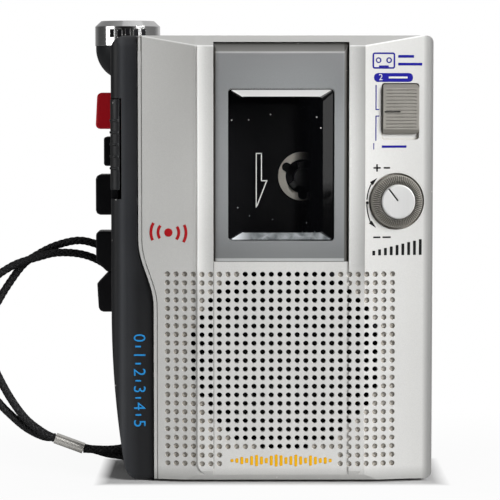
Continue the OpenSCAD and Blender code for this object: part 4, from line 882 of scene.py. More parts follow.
F = Finishes
DRESSED_NODES: dict[Finish | SmokedLens, str] = {
    F.SILVER: "lid_front lid_frame",
    F.CHARCOAL: "rear_cabinet battery_door mic_housing",
    F.PANEL: "key_panel",
    F.BLACK: "jack_block volume_control volume_wheel speed_control switch_body pause_slider erase_head",
    F.INNER_BLACK: "deck_plate mic_capsule lid_inner_panel",
    F.KEY_BLACK: "stop_key play_key forward_key rewind_key",
    F.RED: "record_key",
    F.BEZEL: "window_bezel",
    F.LENS: "window_lens",
    F.GREY: "speed_dial tape_switch",
    F.DIAL_METAL: "dial_cap",
    F.CHROME: "mic_grille",
    F.NICKEL: "strap_crimp",
    F.STEEL: "battery_contacts strap_pin case_screws cassette_springs hinge_pins head_carriage playback_head"
             " pinch_arm capstan",
    F.BRASS: "capstan_bearing flywheel motor_pulley",
    F.RUBBER: "drive_belt pinch_roller idler_wheel",
    F.CLOTH: "dust_cloth",
    F.SPEAKER_STEEL: "speaker_frame",
    F.MAGNET: "speaker_magnet",
    F.PAPER: "speaker_cone",
    F.BOARD: "main_board",
    F.MOTOR: "motor",
    F.SUPPLY_REEL: "supply_spindle",
    F.TAKEUP_REEL: "takeup_spindle",
    F.CORD: "strap_tail strap_hand_loop",
}


@dataclass(frozen=True)
class Lamp:
    """One lamp: a soft square, or a narrow spot where it has an angle in degrees."""

    name: str
    place: Point
    power: float
    aim: Point = (0.0, 0.0, 0.06)
    size: float = 0.5
    spot: float | None = None

    def hang(self) -> None:
        """Hangs the lamp so that it points at its aim."""
        data = bpy.data.lights.new(self.name, "AREA" if self.spot is None else "SPOT")
        data.energy = self.power
        if self.spot is None:
            data.size = self.size
        else:
            data.shadow_soft_size = self.size
            data.spot_size = math.radians(self.spot)
            data.spot_blend = 0.6
        lamp = bpy.data.objects.new(self.name, data)
        lamp.location = self.place
        way = Vector(self.aim) - Vector(self.place)
        lamp.rotation_euler = way.to_track_quat("-Z", "Y").to_euler()
        bpy.context.scene.collection.objects.link(lamp)


@dataclass
class Studio:
    """Camera, lamps, world and floor of the picture."""

    eye: Point = (-0.007, -0.6305, 0.1026)
    pitch: float = math.radians(86.09)
    yaw: float = math.radians(-0.12)
    lens: float = 170.5
    ambient: float = 0.18
    mirror: float = 0.55
    half_base: Spot = (0.042, 0.0185)
    table: Point = (6.0, 4.0, 1.0)
    table_at: Point = (0.0, 1.75, -0.0001)
    lamps: Sequence[Lamp] = (
        Lamp("key_lamp", (0.62, -0.56, 0.42), 10.8),
        Lamp("fill_lamp", (-0.72, -0.36, 0.28), 1.6),
        Lamp("window_lamp", (0.03, -0.75, 0.24), 15.0, (0.004, 0.0, 0.079), 0.02, 2.2),
        Lamp("top_lamp", (0.1, 0.0, 0.75), 0.15),
    )

    def build(self) -> None:
        """Sets up the picture."""
        self._camera()
        self._world()
        for lamp in self.lamps:
            lamp.hang()
        self._floor()
        scene = bpy.context.scene
        scene.view_settings.view_transform = "Standard"
        scene.view_settings.look = "None"

    def _camera(self) -> None:
        """Places the camera where the photograph was taken from."""
        data = bpy.data.cameras.new("camera")
        data.lens = self.lens
        data.sensor_width = 36.0
        data.clip_start = 0.01
        camera = bpy.data.objects.new("camera", data)
        camera.location = self.eye
        camera.rotation_euler = (self.pitch, 0.0, self.yaw)
        bpy.context.scene.collection.objects.link(camera)
        bpy.context.scene.camera = camera

    def _world(self) -> None:
        """White surroundings that are dark behind the camera and dimmer as light."""
        world = bpy.data.worlds.new("studio")
        bpy.context.scene.world = world
        world.use_nodes = True
        t = Tree(world.node_tree)
        way = t.split(t.add("TexCoord").outputs["Generated"])
        front = t.spread(way["Y"], -0.95, -0.45, 0.03, 1.0)
        left = t.spread(way["X"], -0.9, 0.3, 0.12, 1.0)
        right = t.spread(way["X"], 0.45, 0.9, 1.0, 0.3)
        above = t.spread(way["Z"], 0.2, 0.8, 1.0, 0.9)
        path = t.add("LightPath").outputs
        mirror = t.maths("MAXIMUM", path["Is Glossy Ray"], path["Is Transmission Ray"])
        level = t.spread(mirror, 0.0, 1.0, self.ambient, self.mirror)
        for share in (front, left, right, above):
            level = t.maths("MULTIPLY", level, share)
        level = t.maths("MAXIMUM", level, path["Is Camera Ray"])
        glow = t.add("Background", {"Color": (1.0, 1.0, 1.0, 1.0), "Strength": level})
        t.add("OutputWorld", {0: glow.outputs[0]})

    def _floor(self) -> None:
        """White table that fades to pure white away from the recorder and keeps its shadow."""
        deselect()
        bpy.ops.mesh.primitive_plane_add(size=1.0)
        floor = bpy.context.object
        floor.name = "floor"
        with editing(floor, everything=True):
            bpy.ops.transform.resize(value=self.table)
            bpy.ops.transform.translate(value=self.table_at)
        material, t = new_material("white_table")
        parts = t.split(t.place())
        away = [t.maths("ABSOLUTE", parts[axis]) for axis in "XY"]
        far = t.maths("MAXIMUM", *(t.maths("SUBTRACT", a, b) for a, b in zip(away, self.half_base)))
        path = t.add("LightPath").outputs
        seen = t.maths("MAXIMUM", path["Is Camera Ray"], path["Is Transmission Ray"])
        near = t.spread(far, 0.0005, 0.0045, 0.0, 0.94)
        share = t.maths("MULTIPLY", t.maths("ADD", near, t.spread(far, 0.0045, 0.1, 0.0, 0.06)), seen)
        plain = t.add("BsdfPrincipled", {"Base Color": (0.6, 0.6, 0.6, 1.0), "Roughness": 0.8})
        glow = t.add("Emission", {"Color": (1.0, 1.0, 1.0, 1.0), "Strength": 1.0})
        mix = t.add("MixShader", {0: share, 1: plain.outputs[0], 2: glow.outputs[0]})
        t.add("OutputMaterial", {0: mix.outputs[0]})
        floor.data.materials.append(material)


@dataclass
class Assembly:
    """One sub-assembly, dressed in the recorder's finishes."""

    finishes: Finishes

    def look(self, finish: Finish | SmokedLens) -> bpy.types.Material:
        """Returns a finish's material."""
        return self.finishes.get(finish)


@dataclass
class Strap(Assembly):
    """Wrist strap: a tail loop round its pin, a metal crimp and a hand loop of braided cord."""

    diameter: float = 2.0 * MM
    step: float = 0.22 * MM
    sides: int = 32
    yarns: int = 6
    pitch: float = 1.5 * MM
    rise: float = 0.17 * MM
    sunk: float = 0.4
    tail: list[Point] = field(default_factory=lambda: [
        (-50.5, 1.45, 5.8), (-47.5, 1.45, 5.7), (-44, 1.45, 5.6), (-40.5, 1.7, 5.9), (-37, 2.4, 6.8),
        (-35.6, 2.5, 6.9), (-34.2, 2.5, 6.3), (-33.6, 2.5, 4.9), (-34.2, 2.5, 3.5), (-35.6, 2.5, 2.9),
        (-37, 2.6, 3.0), (-40.5, 3.3, 3.7), (-44, 3.55, 4.2), (-47.5, 3.55, 5.2), (-50.5, 3.55, 5.8),
    ])
    hand: list[Point] = field(default_factory=lambda: [
        (-58.1, 1.45, 8.6), (-61.5, 1.9, 10.3), (-66, 2.8, 13.7), (-70, 4.2, 18.7), (-73.6, 6, 24.7),
        (-76.2, 8, 30.2), (-77, 10, 35.7), (-76, 12, 41.2), (-74, 13.5, 45.2), (-71.8, 14.8, 48.9),
        (-67.8, 15.6, 54.3), (-63.6, 16, 57.3), (-58.6, 16.2, 59.7), (-52.8, 16.4, 61.0),
        (-48.2, 17.4, 60.1), (-44.6, 19, 58.1), (-40, 19.8, 55.1), (-33, 19.8, 50.1), (-26, 19.8, 44.3),
        (-20, 19.8, 38.7), (-16.4, 19.8, 34.1), (-15.6, 19.8, 29.3), (-18.6, 19.8, 26.1),
        (-23, 19.8, 27.1), (-27, 19.8, 31.7), (-32, 19.8, 38.3), (-36.4, 19.8, 44.8), (-40, 19.8, 49.9),
        (-44.4, 18.6, 53.6), (-48.4, 16.2, 56.2), (-53, 14.6, 57.6), (-58.6, 13.6, 57.8),
        (-63.6, 13.4, 56.6), (-68.6, 13.3, 55.1), (-71.8, 13.2, 53.5), (-74.2, 13, 51.9),
        (-77.6, 12.4, 49.3), (-80.6, 11.6, 45.3), (-82.6, 10.4, 38.7), (-82, 9, 31.7), (-79, 7.4, 24.7),
        (-73.8, 5.8, 18.0), (-70, 4.8, 14.3), (-66, 4, 11.1), (-61.5, 3.6, 8.9), (-58.1, 3.55, 8.6),
    ])

    def build(self) -> None:
        for name, route, node, lay in (
            ("strap_tail_cord", self.tail, "strap_tail", "taut"),
            ("strap_hand_cord", self.hand, "strap_hand_loop", "loose"),
        ):
            path = self._smooth([Vector(point) * MM for point in route])
            piece = self._tube(name, path)
            deliver(piece, Body.CASE, self.look(F.CORD))
            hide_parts(node)

    def _smooth(self, points: list[Vector]) -> list[Vector]:
        """Runs an even, smooth line through the route's points.

        Args:
            points: the route.

        Returns:
            Points about one step apart.
        """
        ends = [2 * points[0] - points[1], *points, 2 * points[-1] - points[-2]]
        dense: list[Vector] = []
        for a, b, c, d in zip(ends, ends[1:], ends[2:], ends[3:]):
            count = max(2, math.ceil((c - b).length / self.step))
            for i in range(count):
                s = i / count
                dense.append(
                    0.5 * (2 * b + (c - a) * s + (2 * a - 5 * b + 4 * c - d) * s**2
                           + (3 * b - a - 3 * c + d) * s**3)
                )
        dense.append(points[-1])
        return dense

    def _tube(self, name: str, path: list[Vector]) -> bpy.types.Object:
        """Lays rings along a line, with the braid's ridges on them.

        Args:
            name: the piece's name.
            path: the cord's middle line.

        Returns:
            A closed tube with a UV map around and along the cord.
        """
        mesh = bmesh.new()
        chart = mesh.loops.layers.uv.new("cord")
        side = Vector((0.0, 0.0, 1.0))
        rings: list[list[bmesh.types.BMVert]] = []
        marks: list[float] = []
        run = 0.0
        for i, point in enumerate(path):
            way = (path[min(i + 1, len(path) - 1)] - path[max(i - 1, 0)]).normalized()
            side = (side - way * side.dot(way)).normalized()
            other = way.cross(side)
            run += (point - path[i - 1]).length if i else 0.0
            marks.append(run)
            ring = []
            for k in range(self.sides):
                turn = math.tau * k / self.sides
                radius = self.diameter / 2 + self._ridge(turn, run)
                out = math.cos(turn) * side + math.sin(turn) * other
                ring.append(mesh.verts.new(point + radius * out))
            rings.append(ring)
        for i in range(len(rings) - 1):
            for k in range(self.sides):
                j = (k + 1) % self.sides
                face = mesh.faces.new((rings[i][k], rings[i][j], rings[i + 1][j], rings[i + 1][k]))
                face.smooth = True
                spots = ((k, i), (k + 1, i), (k + 1, i + 1), (k, i + 1))
                for loop, (around, ring_no) in zip(face.loops, spots):
                    loop[chart].uv = (around / self.sides, marks[ring_no] / (math.pi * self.diameter))
        mesh.faces.new(list(reversed(rings[0])))
        mesh.faces.new(rings[-1])
        bmesh.ops.recalc_face_normals(mesh, faces=mesh.faces)
        data = bpy.data.meshes.new(name)
        mesh.to_mesh(data)
        mesh.free()
        obj = bpy.data.objects.new(name, data)
        bpy.context.scene.collection.objects.link(obj)
        return obj

    def _ridge(self, turn: float, run: float) -> float:
        """Works out the braid's ridges.

        Args:
            turn: angle round the cord.
            run: distance along it in metres.

        Returns:
            Their height in metres.
        """
        along = math.tau * run / self.pitch
        lean = math.cos(self.yarns * turn + along)
        counter = math.cos(self.yarns * turn - along)
        return self.rise * (max(lean, counter) - self.sunk)


@dataclass
class Microphone(Assembly):
    """Dark ring behind the slots of the microphone's cap, painted shade that keeps the slots black."""

    foot: Point = (-38.5, 8.0, 115.9)
    height: float = 2.6
    radius: float = 8.55
    thickness: float = 0.3
    sides: int = 96

    def build(self) -> None:
        """Draws a ring up to a short tube and gives it a wall."""
        deselect()
        bpy.ops.mesh.primitive_circle_add(
            vertices=self.sides, radius=self.radius * MM, location=Vector(self.foot) * MM
        )
        slot_shade = bpy.context.object
        with editing(slot_shade, everything=True):
            rise = (0.0, 0.0, self.height * MM)
            bpy.ops.mesh.extrude_region_move(TRANSFORM_OT_translate={"value": rise})
            close_up()
        apply_modifier(slot_shade, "SOLIDIFY", thickness=self.thickness * MM, offset=-1.0)
        deliver(settle(slot_shade, "mic_slot_shade"), Body.CASE, self.look(F.INNER_BLACK))


@dataclass
class Marks:
    """A print on one face: flat shapes in millimetres that get a small thickness and are laid in place."""

    parts: list[bpy.types.Object] = field(default_factory=list)

    def _put(self, obj: bpy.types.Object, x: float, y: float, turn: float = 0.0) -> "Marks":
        """Turns a shape, moves it and keeps it.

        Args:
            obj: the shape.
            x, y: its middle.
            turn: its turn in degrees.

        Returns:
            These marks.
        """
        obj.rotation_euler = (0.0, 0.0, math.radians(turn))
        obj.location = (x * MM, y * MM, 0.0)
        self.parts.append(obj)
        return self

    def bar(self, x: float, y: float, w: float, h: float, r: float = 0.0, turn: float = 0.0) -> "Marks":
        """Adds a bar with its middle at x, y, its corners rounded by r and turned by degrees."""
        return self._put(sheet(w, h, r), x, y, turn)

    def disc(self, x: float, y: float, r: float) -> "Marks":
        """Adds a round dot of radius r about x, y."""
        return self._put(polygon(28, r, r), x, y)

    def wedge(self, x: float, y: float, w: float, h: float, turn: float = 0.0) -> "Marks":
        """Adds a triangle with its middle at x, y that points right, or as turned by degrees."""
        return self._put(polygon(3, h / math.sqrt(3), w / 1.5), x, y, turn - 90)

    def ring(self, x: float, y: float, w: float, h: float, r: float, line: float) -> "Marks":
        """Adds an outlined rectangle with rounded corners.

        Args:
            x, y: its middle.
            w, h: its width and height.
            r: radius of its corners.
            line: width of its line.

        Returns:
            These marks.
        """
        self.bar(x, y, w, h, r)
        with editing(self.parts[-1], everything=True):
            bpy.ops.mesh.inset(thickness=line * MM)
            bpy.ops.mesh.delete(type="FACE")
        return self

    def arc(self, x: float, y: float, r: float, line: float, start: float, sweep: float) -> "Marks":
        """Adds a curved line.

        Args:
            x, y: its centre.
            r: its radius.
            line: its width.
            start, sweep: its angles in degrees.

        Returns:
            These marks.
        """
        steps = max(6, round(sweep / 6))
        first = r * math.radians(sweep) / steps
        obj = sheet(line, first)
        with editing(obj, everything=True):
            bpy.ops.transform.translate(value=(r * MM, -first / 2 * MM, 0.0))
            select_verts(obj, lambda co: co.y > -first / 4 * MM)
            bpy.ops.mesh.spin(steps=steps, angle=-math.radians(sweep), center=(0, 0, 0), axis=(0, 0, 1))
        return self._put(obj, x, y, start)

    def digit(self, text: str, x: float, y: float, size: float, turn: float = 0.0) -> "Marks":
        """Adds a plain number.

        Args:
            text: the number.
            x, y: its middle.
            size: its height.
            turn: its turn in degrees.

        Returns:
            These marks.
        """
        deselect()
        bpy.ops.object.text_add()
        letters = bpy.context.object.data
        letters.body = text
        letters.size = size * MM
        letters.align_x = "CENTER"
        letters.align_y = "CENTER"
        bpy.ops.object.convert(target="MESH")
        return self._put(bpy.context.object, x, y, turn)

    def lay(
        self, name: str, side: Side, origin: Point, body: Body, material: bpy.types.Material,
        rise: float = PRINT_RISE,
    ) -> bpy.types.Object:
        """Joins the shapes, thickens them and lays them on a face.

        Args:
            name: the piece's name.
            side: the face's direction.
            origin: the drawing's origin on the face, in millimetres.
            body: the body that the print moves with.
            material: its ink.
            rise: thickness of the print in metres.

        Returns:
            The finished print.
        """
        obj = settle(join(self.parts), name)
        with editing(obj) as mesh:
            for face in mesh.faces:
                if face.normal.z < 0:
                    face.normal_flip()
            bmesh.update_edit_mesh(obj.data)
        apply_modifier(obj, "SOLIDIFY", thickness=2 * rise, offset=0.0)
        settle(obj, name, side.place(Vector(origin) * MM))
        return deliver(obj, body, material)


@dataclass
class Lid(Assembly):
    """Silver front with its prints and its painted shade pieces; places are in millimetres on the lid's
    faces.
    """

    strip_y: float = -18.1
    facet_l: float = -19.4
    facet_r: float = 24.1
    sound_at: Spot = (-26.9, 65.2)
    level_w: float = 25.6
    level_at: Spot = (2.4, 5.7)
    level_bars: Sequence[float] = (
        0.8, 1.2, 1.9, 1.3, 2.4, 3.0, 2.1, 1.4, 2.6, 3.2, 2.8, 1.8, 2.3, 3.1, 2.2, 1.5, 2.7, 2.0, 1.3, 1.7,
        0.9,
    )
    tape_at: Spot = (32.5, 109.7)
    pill_at: Spot = (31.4, 105.35)
    one_at: Spot = (26.3, 87.5)
    dial_at: Spot = (32.3, 73.3)
    rising_bars: int = 9
    # Radius, depth and places of the black discs painted as the shade of open holes.
    hole_r: float = 0.66
    hole_sink: float = 0.12
    upper_hole: Spot = (15.55, 54.4)
    side_hole: Spot = (26.8, 40.9)
    # Place and size of the thin dark bar painted as the shade of the left rib's step.
    step_shade_at: Spot = (-15.12, 30.6)
    seam: Spot = (0.14, 54.0)
    lip_low: Point = (-34.76, -15.28, 112.15)
    lip_high: Point = (-33.9, -12.8, 115.7)

    def on_left(self, x: float, z: float) -> Point:
        """Point of the left facet at x and z."""
        return (x, self.strip_y + (self.facet_l - x) * math.tan(FACET_TILT), z)

    def on_right(self, x: float, z: float, sink: float = 0.0) -> Point:
        """Point of the right facet at x and z, or behind it by a depth."""
        return (x, self.strip_y + (x - self.facet_r) * math.tan(FACET_TILT) + sink, z)

    def on_strip(self, x: float, z: float, sink: float = 0.0) -> Point:
        """Point of the middle strip at x and z, or behind it by a depth."""
        return (x, self.strip_y + sink, z)

    def build(self) -> None:
        """Prints the lid's marks and adds its small pieces, painted shade pieces among them."""
        self._sound_mark().lay(
            "mark_sound", Side.LEFT_FACET, self.on_left(*self.sound_at), Body.LID, self.look(F.INK_RED)
        )
        level = Marks()
        pitch = self.level_w / (len(self.level_bars) - 1)
        for i, h in enumerate(self.level_bars):
            level.bar(pitch * i - self.level_w / 2, 0, 0.78, h, 0.25)
        level.lay("mark_level", Side.FRONT, self.on_strip(*self.level_at), Body.LID, self.look(F.INK_AMBER))
        for name, marks, place, finish, rise in (
            ("mark_tape", self._tape_mark(), self.tape_at, F.INK_NAVY, PRINT_RISE),
            ("mark_pill", Marks().bar(0, 0, 10.4, 2.3, 1.1), self.pill_at, F.INK_NAVY, PRINT_RISE),
            ("mark_two", self._two_mark(), self.pill_at, F.INK_WHITE, 1.6 * PRINT_RISE),
            ("mark_one", self._one_mark(), self.one_at, F.INK_NAVY, PRINT_RISE),
            ("mark_speed", self._speed_mark(), self.dial_at, F.INK_BLACK, PRINT_RISE),
        ):
            marks.lay(name, Side.RIGHT_FACET, self.on_right(*place), Body.LID, self.look(finish), rise)
        lip = settle(block(Vector(self.lip_low), Vector(self.lip_high), 0.12), "lid_lip_end")
        deliver(lip, Body.LID, self.look(F.SILVER))
        # Black discs sunk into two dimples of the grille, painted shade that makes them look like open holes.
        for name, side, place in (
            ("grille_hole_shade_upper", Side.FRONT, self.on_strip(*self.upper_hole, self.hole_sink)),
            ("grille_hole_shade_side", Side.RIGHT_FACET, self.on_right(*self.side_hole, self.hole_sink)),
        ):
            Marks().disc(0, 0, self.hole_r).lay(name, side, place, Body.LID, self.look(F.INNER_BLACK))
        # A thin dark bar along the right edge of the left rib, painted shade of its step down to the middle
        # strip.
        seam = Marks().bar(0, 0, *self.seam)
        seam.lay("rib_step_shade", Side.FRONT, self.on_strip(*self.step_shade_at), Body.LID, self.look(F.BEZEL))

    def _sound_mark(self) -> Marks:
        """Draws a dot between two pairs of curved lines.

        Returns:
            The sound sign.
        """
        sound = Marks().disc(0, 0, 1.1)
        for i in range(2):
            for way in (0, 180):
                sound.arc(0, 0, 2.75 + 1.9 * i, 0.75, way - 34 + 8 * i, 68 - 16 * i)
        return sound

    def _tape_mark(self) -> Marks:
        """Draws a small tape with two lines beside it.

        Returns:
            The tape sign.
        """
        tape = Marks().ring(-3.7, 0, 6.0, 4.2, 0.6, 0.42)
        for x in (-5.1, -2.3):
            tape.ring(x, 0.1, 1.5, 1.5, 0.74, 0.32)
        return tape.bar(-3.7, -1.45, 2.6, 0.4).bar(2.2, 1.1, 4.2, 0.7, 0.1).bar(3.3, -0.9, 6.4, 0.7, 0.1)

    def _two_mark(self) -> Marks:
        """Draws the number and the line of the switch's upper place and returns them."""
        return Marks().digit("2", -3.4, 0, 2.3).bar(1.2, 0, 5.0, 0.5, 0.1)

    def _one_mark(self) -> Marks:
        """Draws the number and line of the switch's lower place and both its brackets.

        Returns:
            The switch's signs.
        """
        one = Marks().digit("1", 0, 0, 2.4).bar(5.4, 0, 6.6, 0.6, 0.1)
        for upright, foot in ((12.7, 9.6), (4.75, 7.9)):
            one.bar(0.55, upright, 0.28, 6.45).bar(0.95, foot, 0.9, 0.28)
        return one

    def _speed_mark(self) -> Marks:
        """Draws the signs round the speed dial.

        Returns:
            The dial's signs.
        """
        speed = Marks().bar(-5.2, 8.7, 1.9, 0.42).bar(-5.2, 8.7, 0.42, 1.9).bar(-2.6, 8.7, 1.7, 0.42)
        speed.bar(-5.2, -9.3, 1.9, 0.42).bar(-2.6, -9.3, 2.2, 0.42).disc(-7.75, -0.3, 0.4)
        speed.arc(2.12, -0.15, 10.0, 0.3, 150.7, 25.6).arc(4.12, -0.55, 12.0, 0.3, 184.0, 19.8)
        speed.wedge(-6.1, 5.2, 2.15, 1.1, 43).wedge(-6.35, -5.9, 2.2, 1.05, -45)
        for i in range(self.rising_bars):
            speed.bar(-6.0 + 1.55 * i, -13.4 + 0.18 * i, 0.75, 1.2 + 0.36 * i, 0.1)
        return speed


@dataclass
class Window(Assembly):
    """Tape window: the sunk lens with its sloped frame and the half arrow behind it."""

    front_y: float = -18.25
    middle: Spot = (2.35, 82.8)
    outline: Spot = (27.3, 39.2)
    rim: float = 0.25
    rim_drop: float = 0.02
    sunk: Spot = (21.5, 35.2)
    sink: float = 1.4
    depth: float = 2.6
    corners: Sequence[float] = (0.8, 0.8, 0.7, 1.3)
    arrow_at: Spot = (-3.4, 78.8)
    arrow_gap: float = 0.06
    same_level: float = 0.002

    def build(self) -> None:
        """Makes the lens and the sign on its inner face."""
        lens = self._lens()
        deliver(lens, Body.LID, self.look(F.LENS))
        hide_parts("window_lens")
        arrow = Marks().bar(0, 6.9, 1.6, 0.25).bar(-0.7, -0.2, 0.25, 13.9).bar(0.65, 3.4, 0.25, 7.1)
        arrow.bar(1.4, -0.2, 1.6, 0.25).bar(0.75, -3.5, 0.25, 7.0, 0.0, -21.0)
        back = (self.arrow_at[0], self.front_y + self.depth + self.arrow_gap, self.arrow_at[1])
        arrow.lay("mark_tape_way", Side.FRONT, back, Body.LID, self.look(F.INK_WHITE))

    def _lens(self) -> bpy.types.Object:
        """Bridges rounded outlines into a closed plate with a sunk field.

        Returns:
            The lens in its place.
        """
        inner = (self.outline[0] - 2 * self.rim, self.outline[1] - 2 * self.rim)
        levels = (-self.depth, 0.0, -self.rim_drop, -self.sink)
        rings = Marks()
        outlines = (self.outline, self.outline, inner, self.sunk)
        for (w, h), r, level in zip(outlines, self.corners, levels):
            rings.bar(0, 0, w, h, r)
            rings.parts[-1].location.z = level * MM
        obj = settle(join(rings.parts), "window_lens_piece")
        with editing(obj, everything=True):
            bpy.ops.mesh.delete(type="ONLY_FACE")
            for pair in zip(levels, levels[1:]):
                self._pick_levels(obj, pair)
                bpy.ops.mesh.bridge_edge_loops()
            for level in (levels[0], levels[-1]):
                self._pick_levels(obj, (level,))
                bpy.ops.mesh.edge_face_add()
            close_up()
        soften(obj, 0.1, 2, 15)
        place = Vector((self.middle[0], self.front_y, self.middle[1])) * MM
        return settle(obj, "window_lens_piece", Side.FRONT.place(place))

    def _pick_levels(self, obj: bpy.types.Object, levels: Sequence[float]) -> None:
        """Selects the outlines at the given heights, in millimetres."""
        select_verts(obj, lambda co: any(abs(co.z / MM - level) < self.same_level for level in levels))


@dataclass
class Controls(Assembly):
    """Ribbed ring and pointer of the speed dial, and index line of the tape switch."""

    dial_rise: float = 2.2
    pointer_turn: float = 128.0
    pointer_r: float = 2.3
    switch: Spot = (33.2, 96.5)
    switch_rise: float = 1.0
    ribs: int = 72
    rib_sink: float = 0.45
    groove_r: Spot = (4.9, 6.7)
    profile: Sequence[Spot] = (
        (6.9, -0.75), (6.9, 0.2), (6.6, 1.5), (5.45, 2.3), (4.95, 2.3), (4.55, 1.8),
    )

    def build(self, lid: Lid) -> None:
        """Makes the dial's ribbed ring and draws its pointer and the switch's line.

        Args:
            lid: the lid, for places on its right facet.
        """
        dial = Vector(lid.on_right(*lid.dial_at))
        ring = settle(self._ring(), "dial_ribbed_ring", Side.RIGHT_FACET.place(dial * MM))
        deliver(ring, Body.DIAL, self.look(F.RIBBED))
        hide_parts("speed_dial")
        out = Vector((math.sin(FACET_TILT), -math.cos(FACET_TILT), 0.0))
        turn = math.radians(self.pointer_turn)
        x, y = self.pointer_r * math.cos(turn), self.pointer_r * math.sin(turn)
        pointer = Marks().bar(x, y, 4.0, 0.38, 0.0, self.pointer_turn)
        index = Marks().bar(-2.3, 0, 4.2, 0.34)
        switch = Vector(lid.on_right(*self.switch))
        for name, line, place, body in (
            ("dial_pointer", pointer, dial + out * self.dial_rise, Body.DIAL),
            ("switch_index", index, switch + out * self.switch_rise, Body.SWITCH),
        ):
            line.lay(name, Side.RIGHT_FACET, tuple(place), body, self.look(F.INK_BLACK))

    def _ring(self) -> bpy.types.Object:
        """Extrudes a circle along the dial's profile and sinks every second line of its upper faces.

        Returns:
            The ring, drawn about its own axis.
        """
        deselect()
        bpy.ops.mesh.primitive_circle_add(
            vertices=2 * self.ribs, radius=self.profile[0][0] * MM, fill_type="NGON",
            location=(0.0, 0.0, self.profile[0][1] * MM),
        )
        obj = settle(bpy.context.object, "dial_ribbed_ring")
        with editing(obj, everything=True):
            for (r0, z0), (r1, z1) in zip(self.profile, self.profile[1:]):
                rise = (0.0, 0.0, (z1 - z0) * MM)
                bpy.ops.mesh.extrude_region_move(TRANSFORM_OT_translate={"value": rise})
                bpy.ops.transform.resize(value=(r1 / r0, r1 / r0, 1.0))
            select_verts(obj, self._in_groove)
            bpy.ops.transform.translate(value=(0, 0, -self.rib_sink * MM))
            close_up()
        return obj

    def _in_groove(self, co: Vector) -> bool:
        """Tells whether a point of the ring belongs to a groove between two ribs."""
        column = round(math.atan2(co.y, co.x) / math.pi * self.ribs)
        return column % 2 == 1 and self.groove_r[0] < co.xy.length / MM < self.groove_r[1] and co.z > MM


@dataclass(frozen=True)
class KeyForm:
    """One key: its ends along Z, where its outer face lies at both, its outer corners and its sign."""

    body: Body
    low: float
    high: float
    out_low: float
    out_high: float
    corner_low: tuple[float, int]
    corner_high: tuple[float, int]
    finish: Finish

    @property
    def middle(self) -> Spot:
        """Place and height of the middle of the outer face."""
        return ((self.out_low + self.out_high) / 2, (self.low + self.high) / 2)


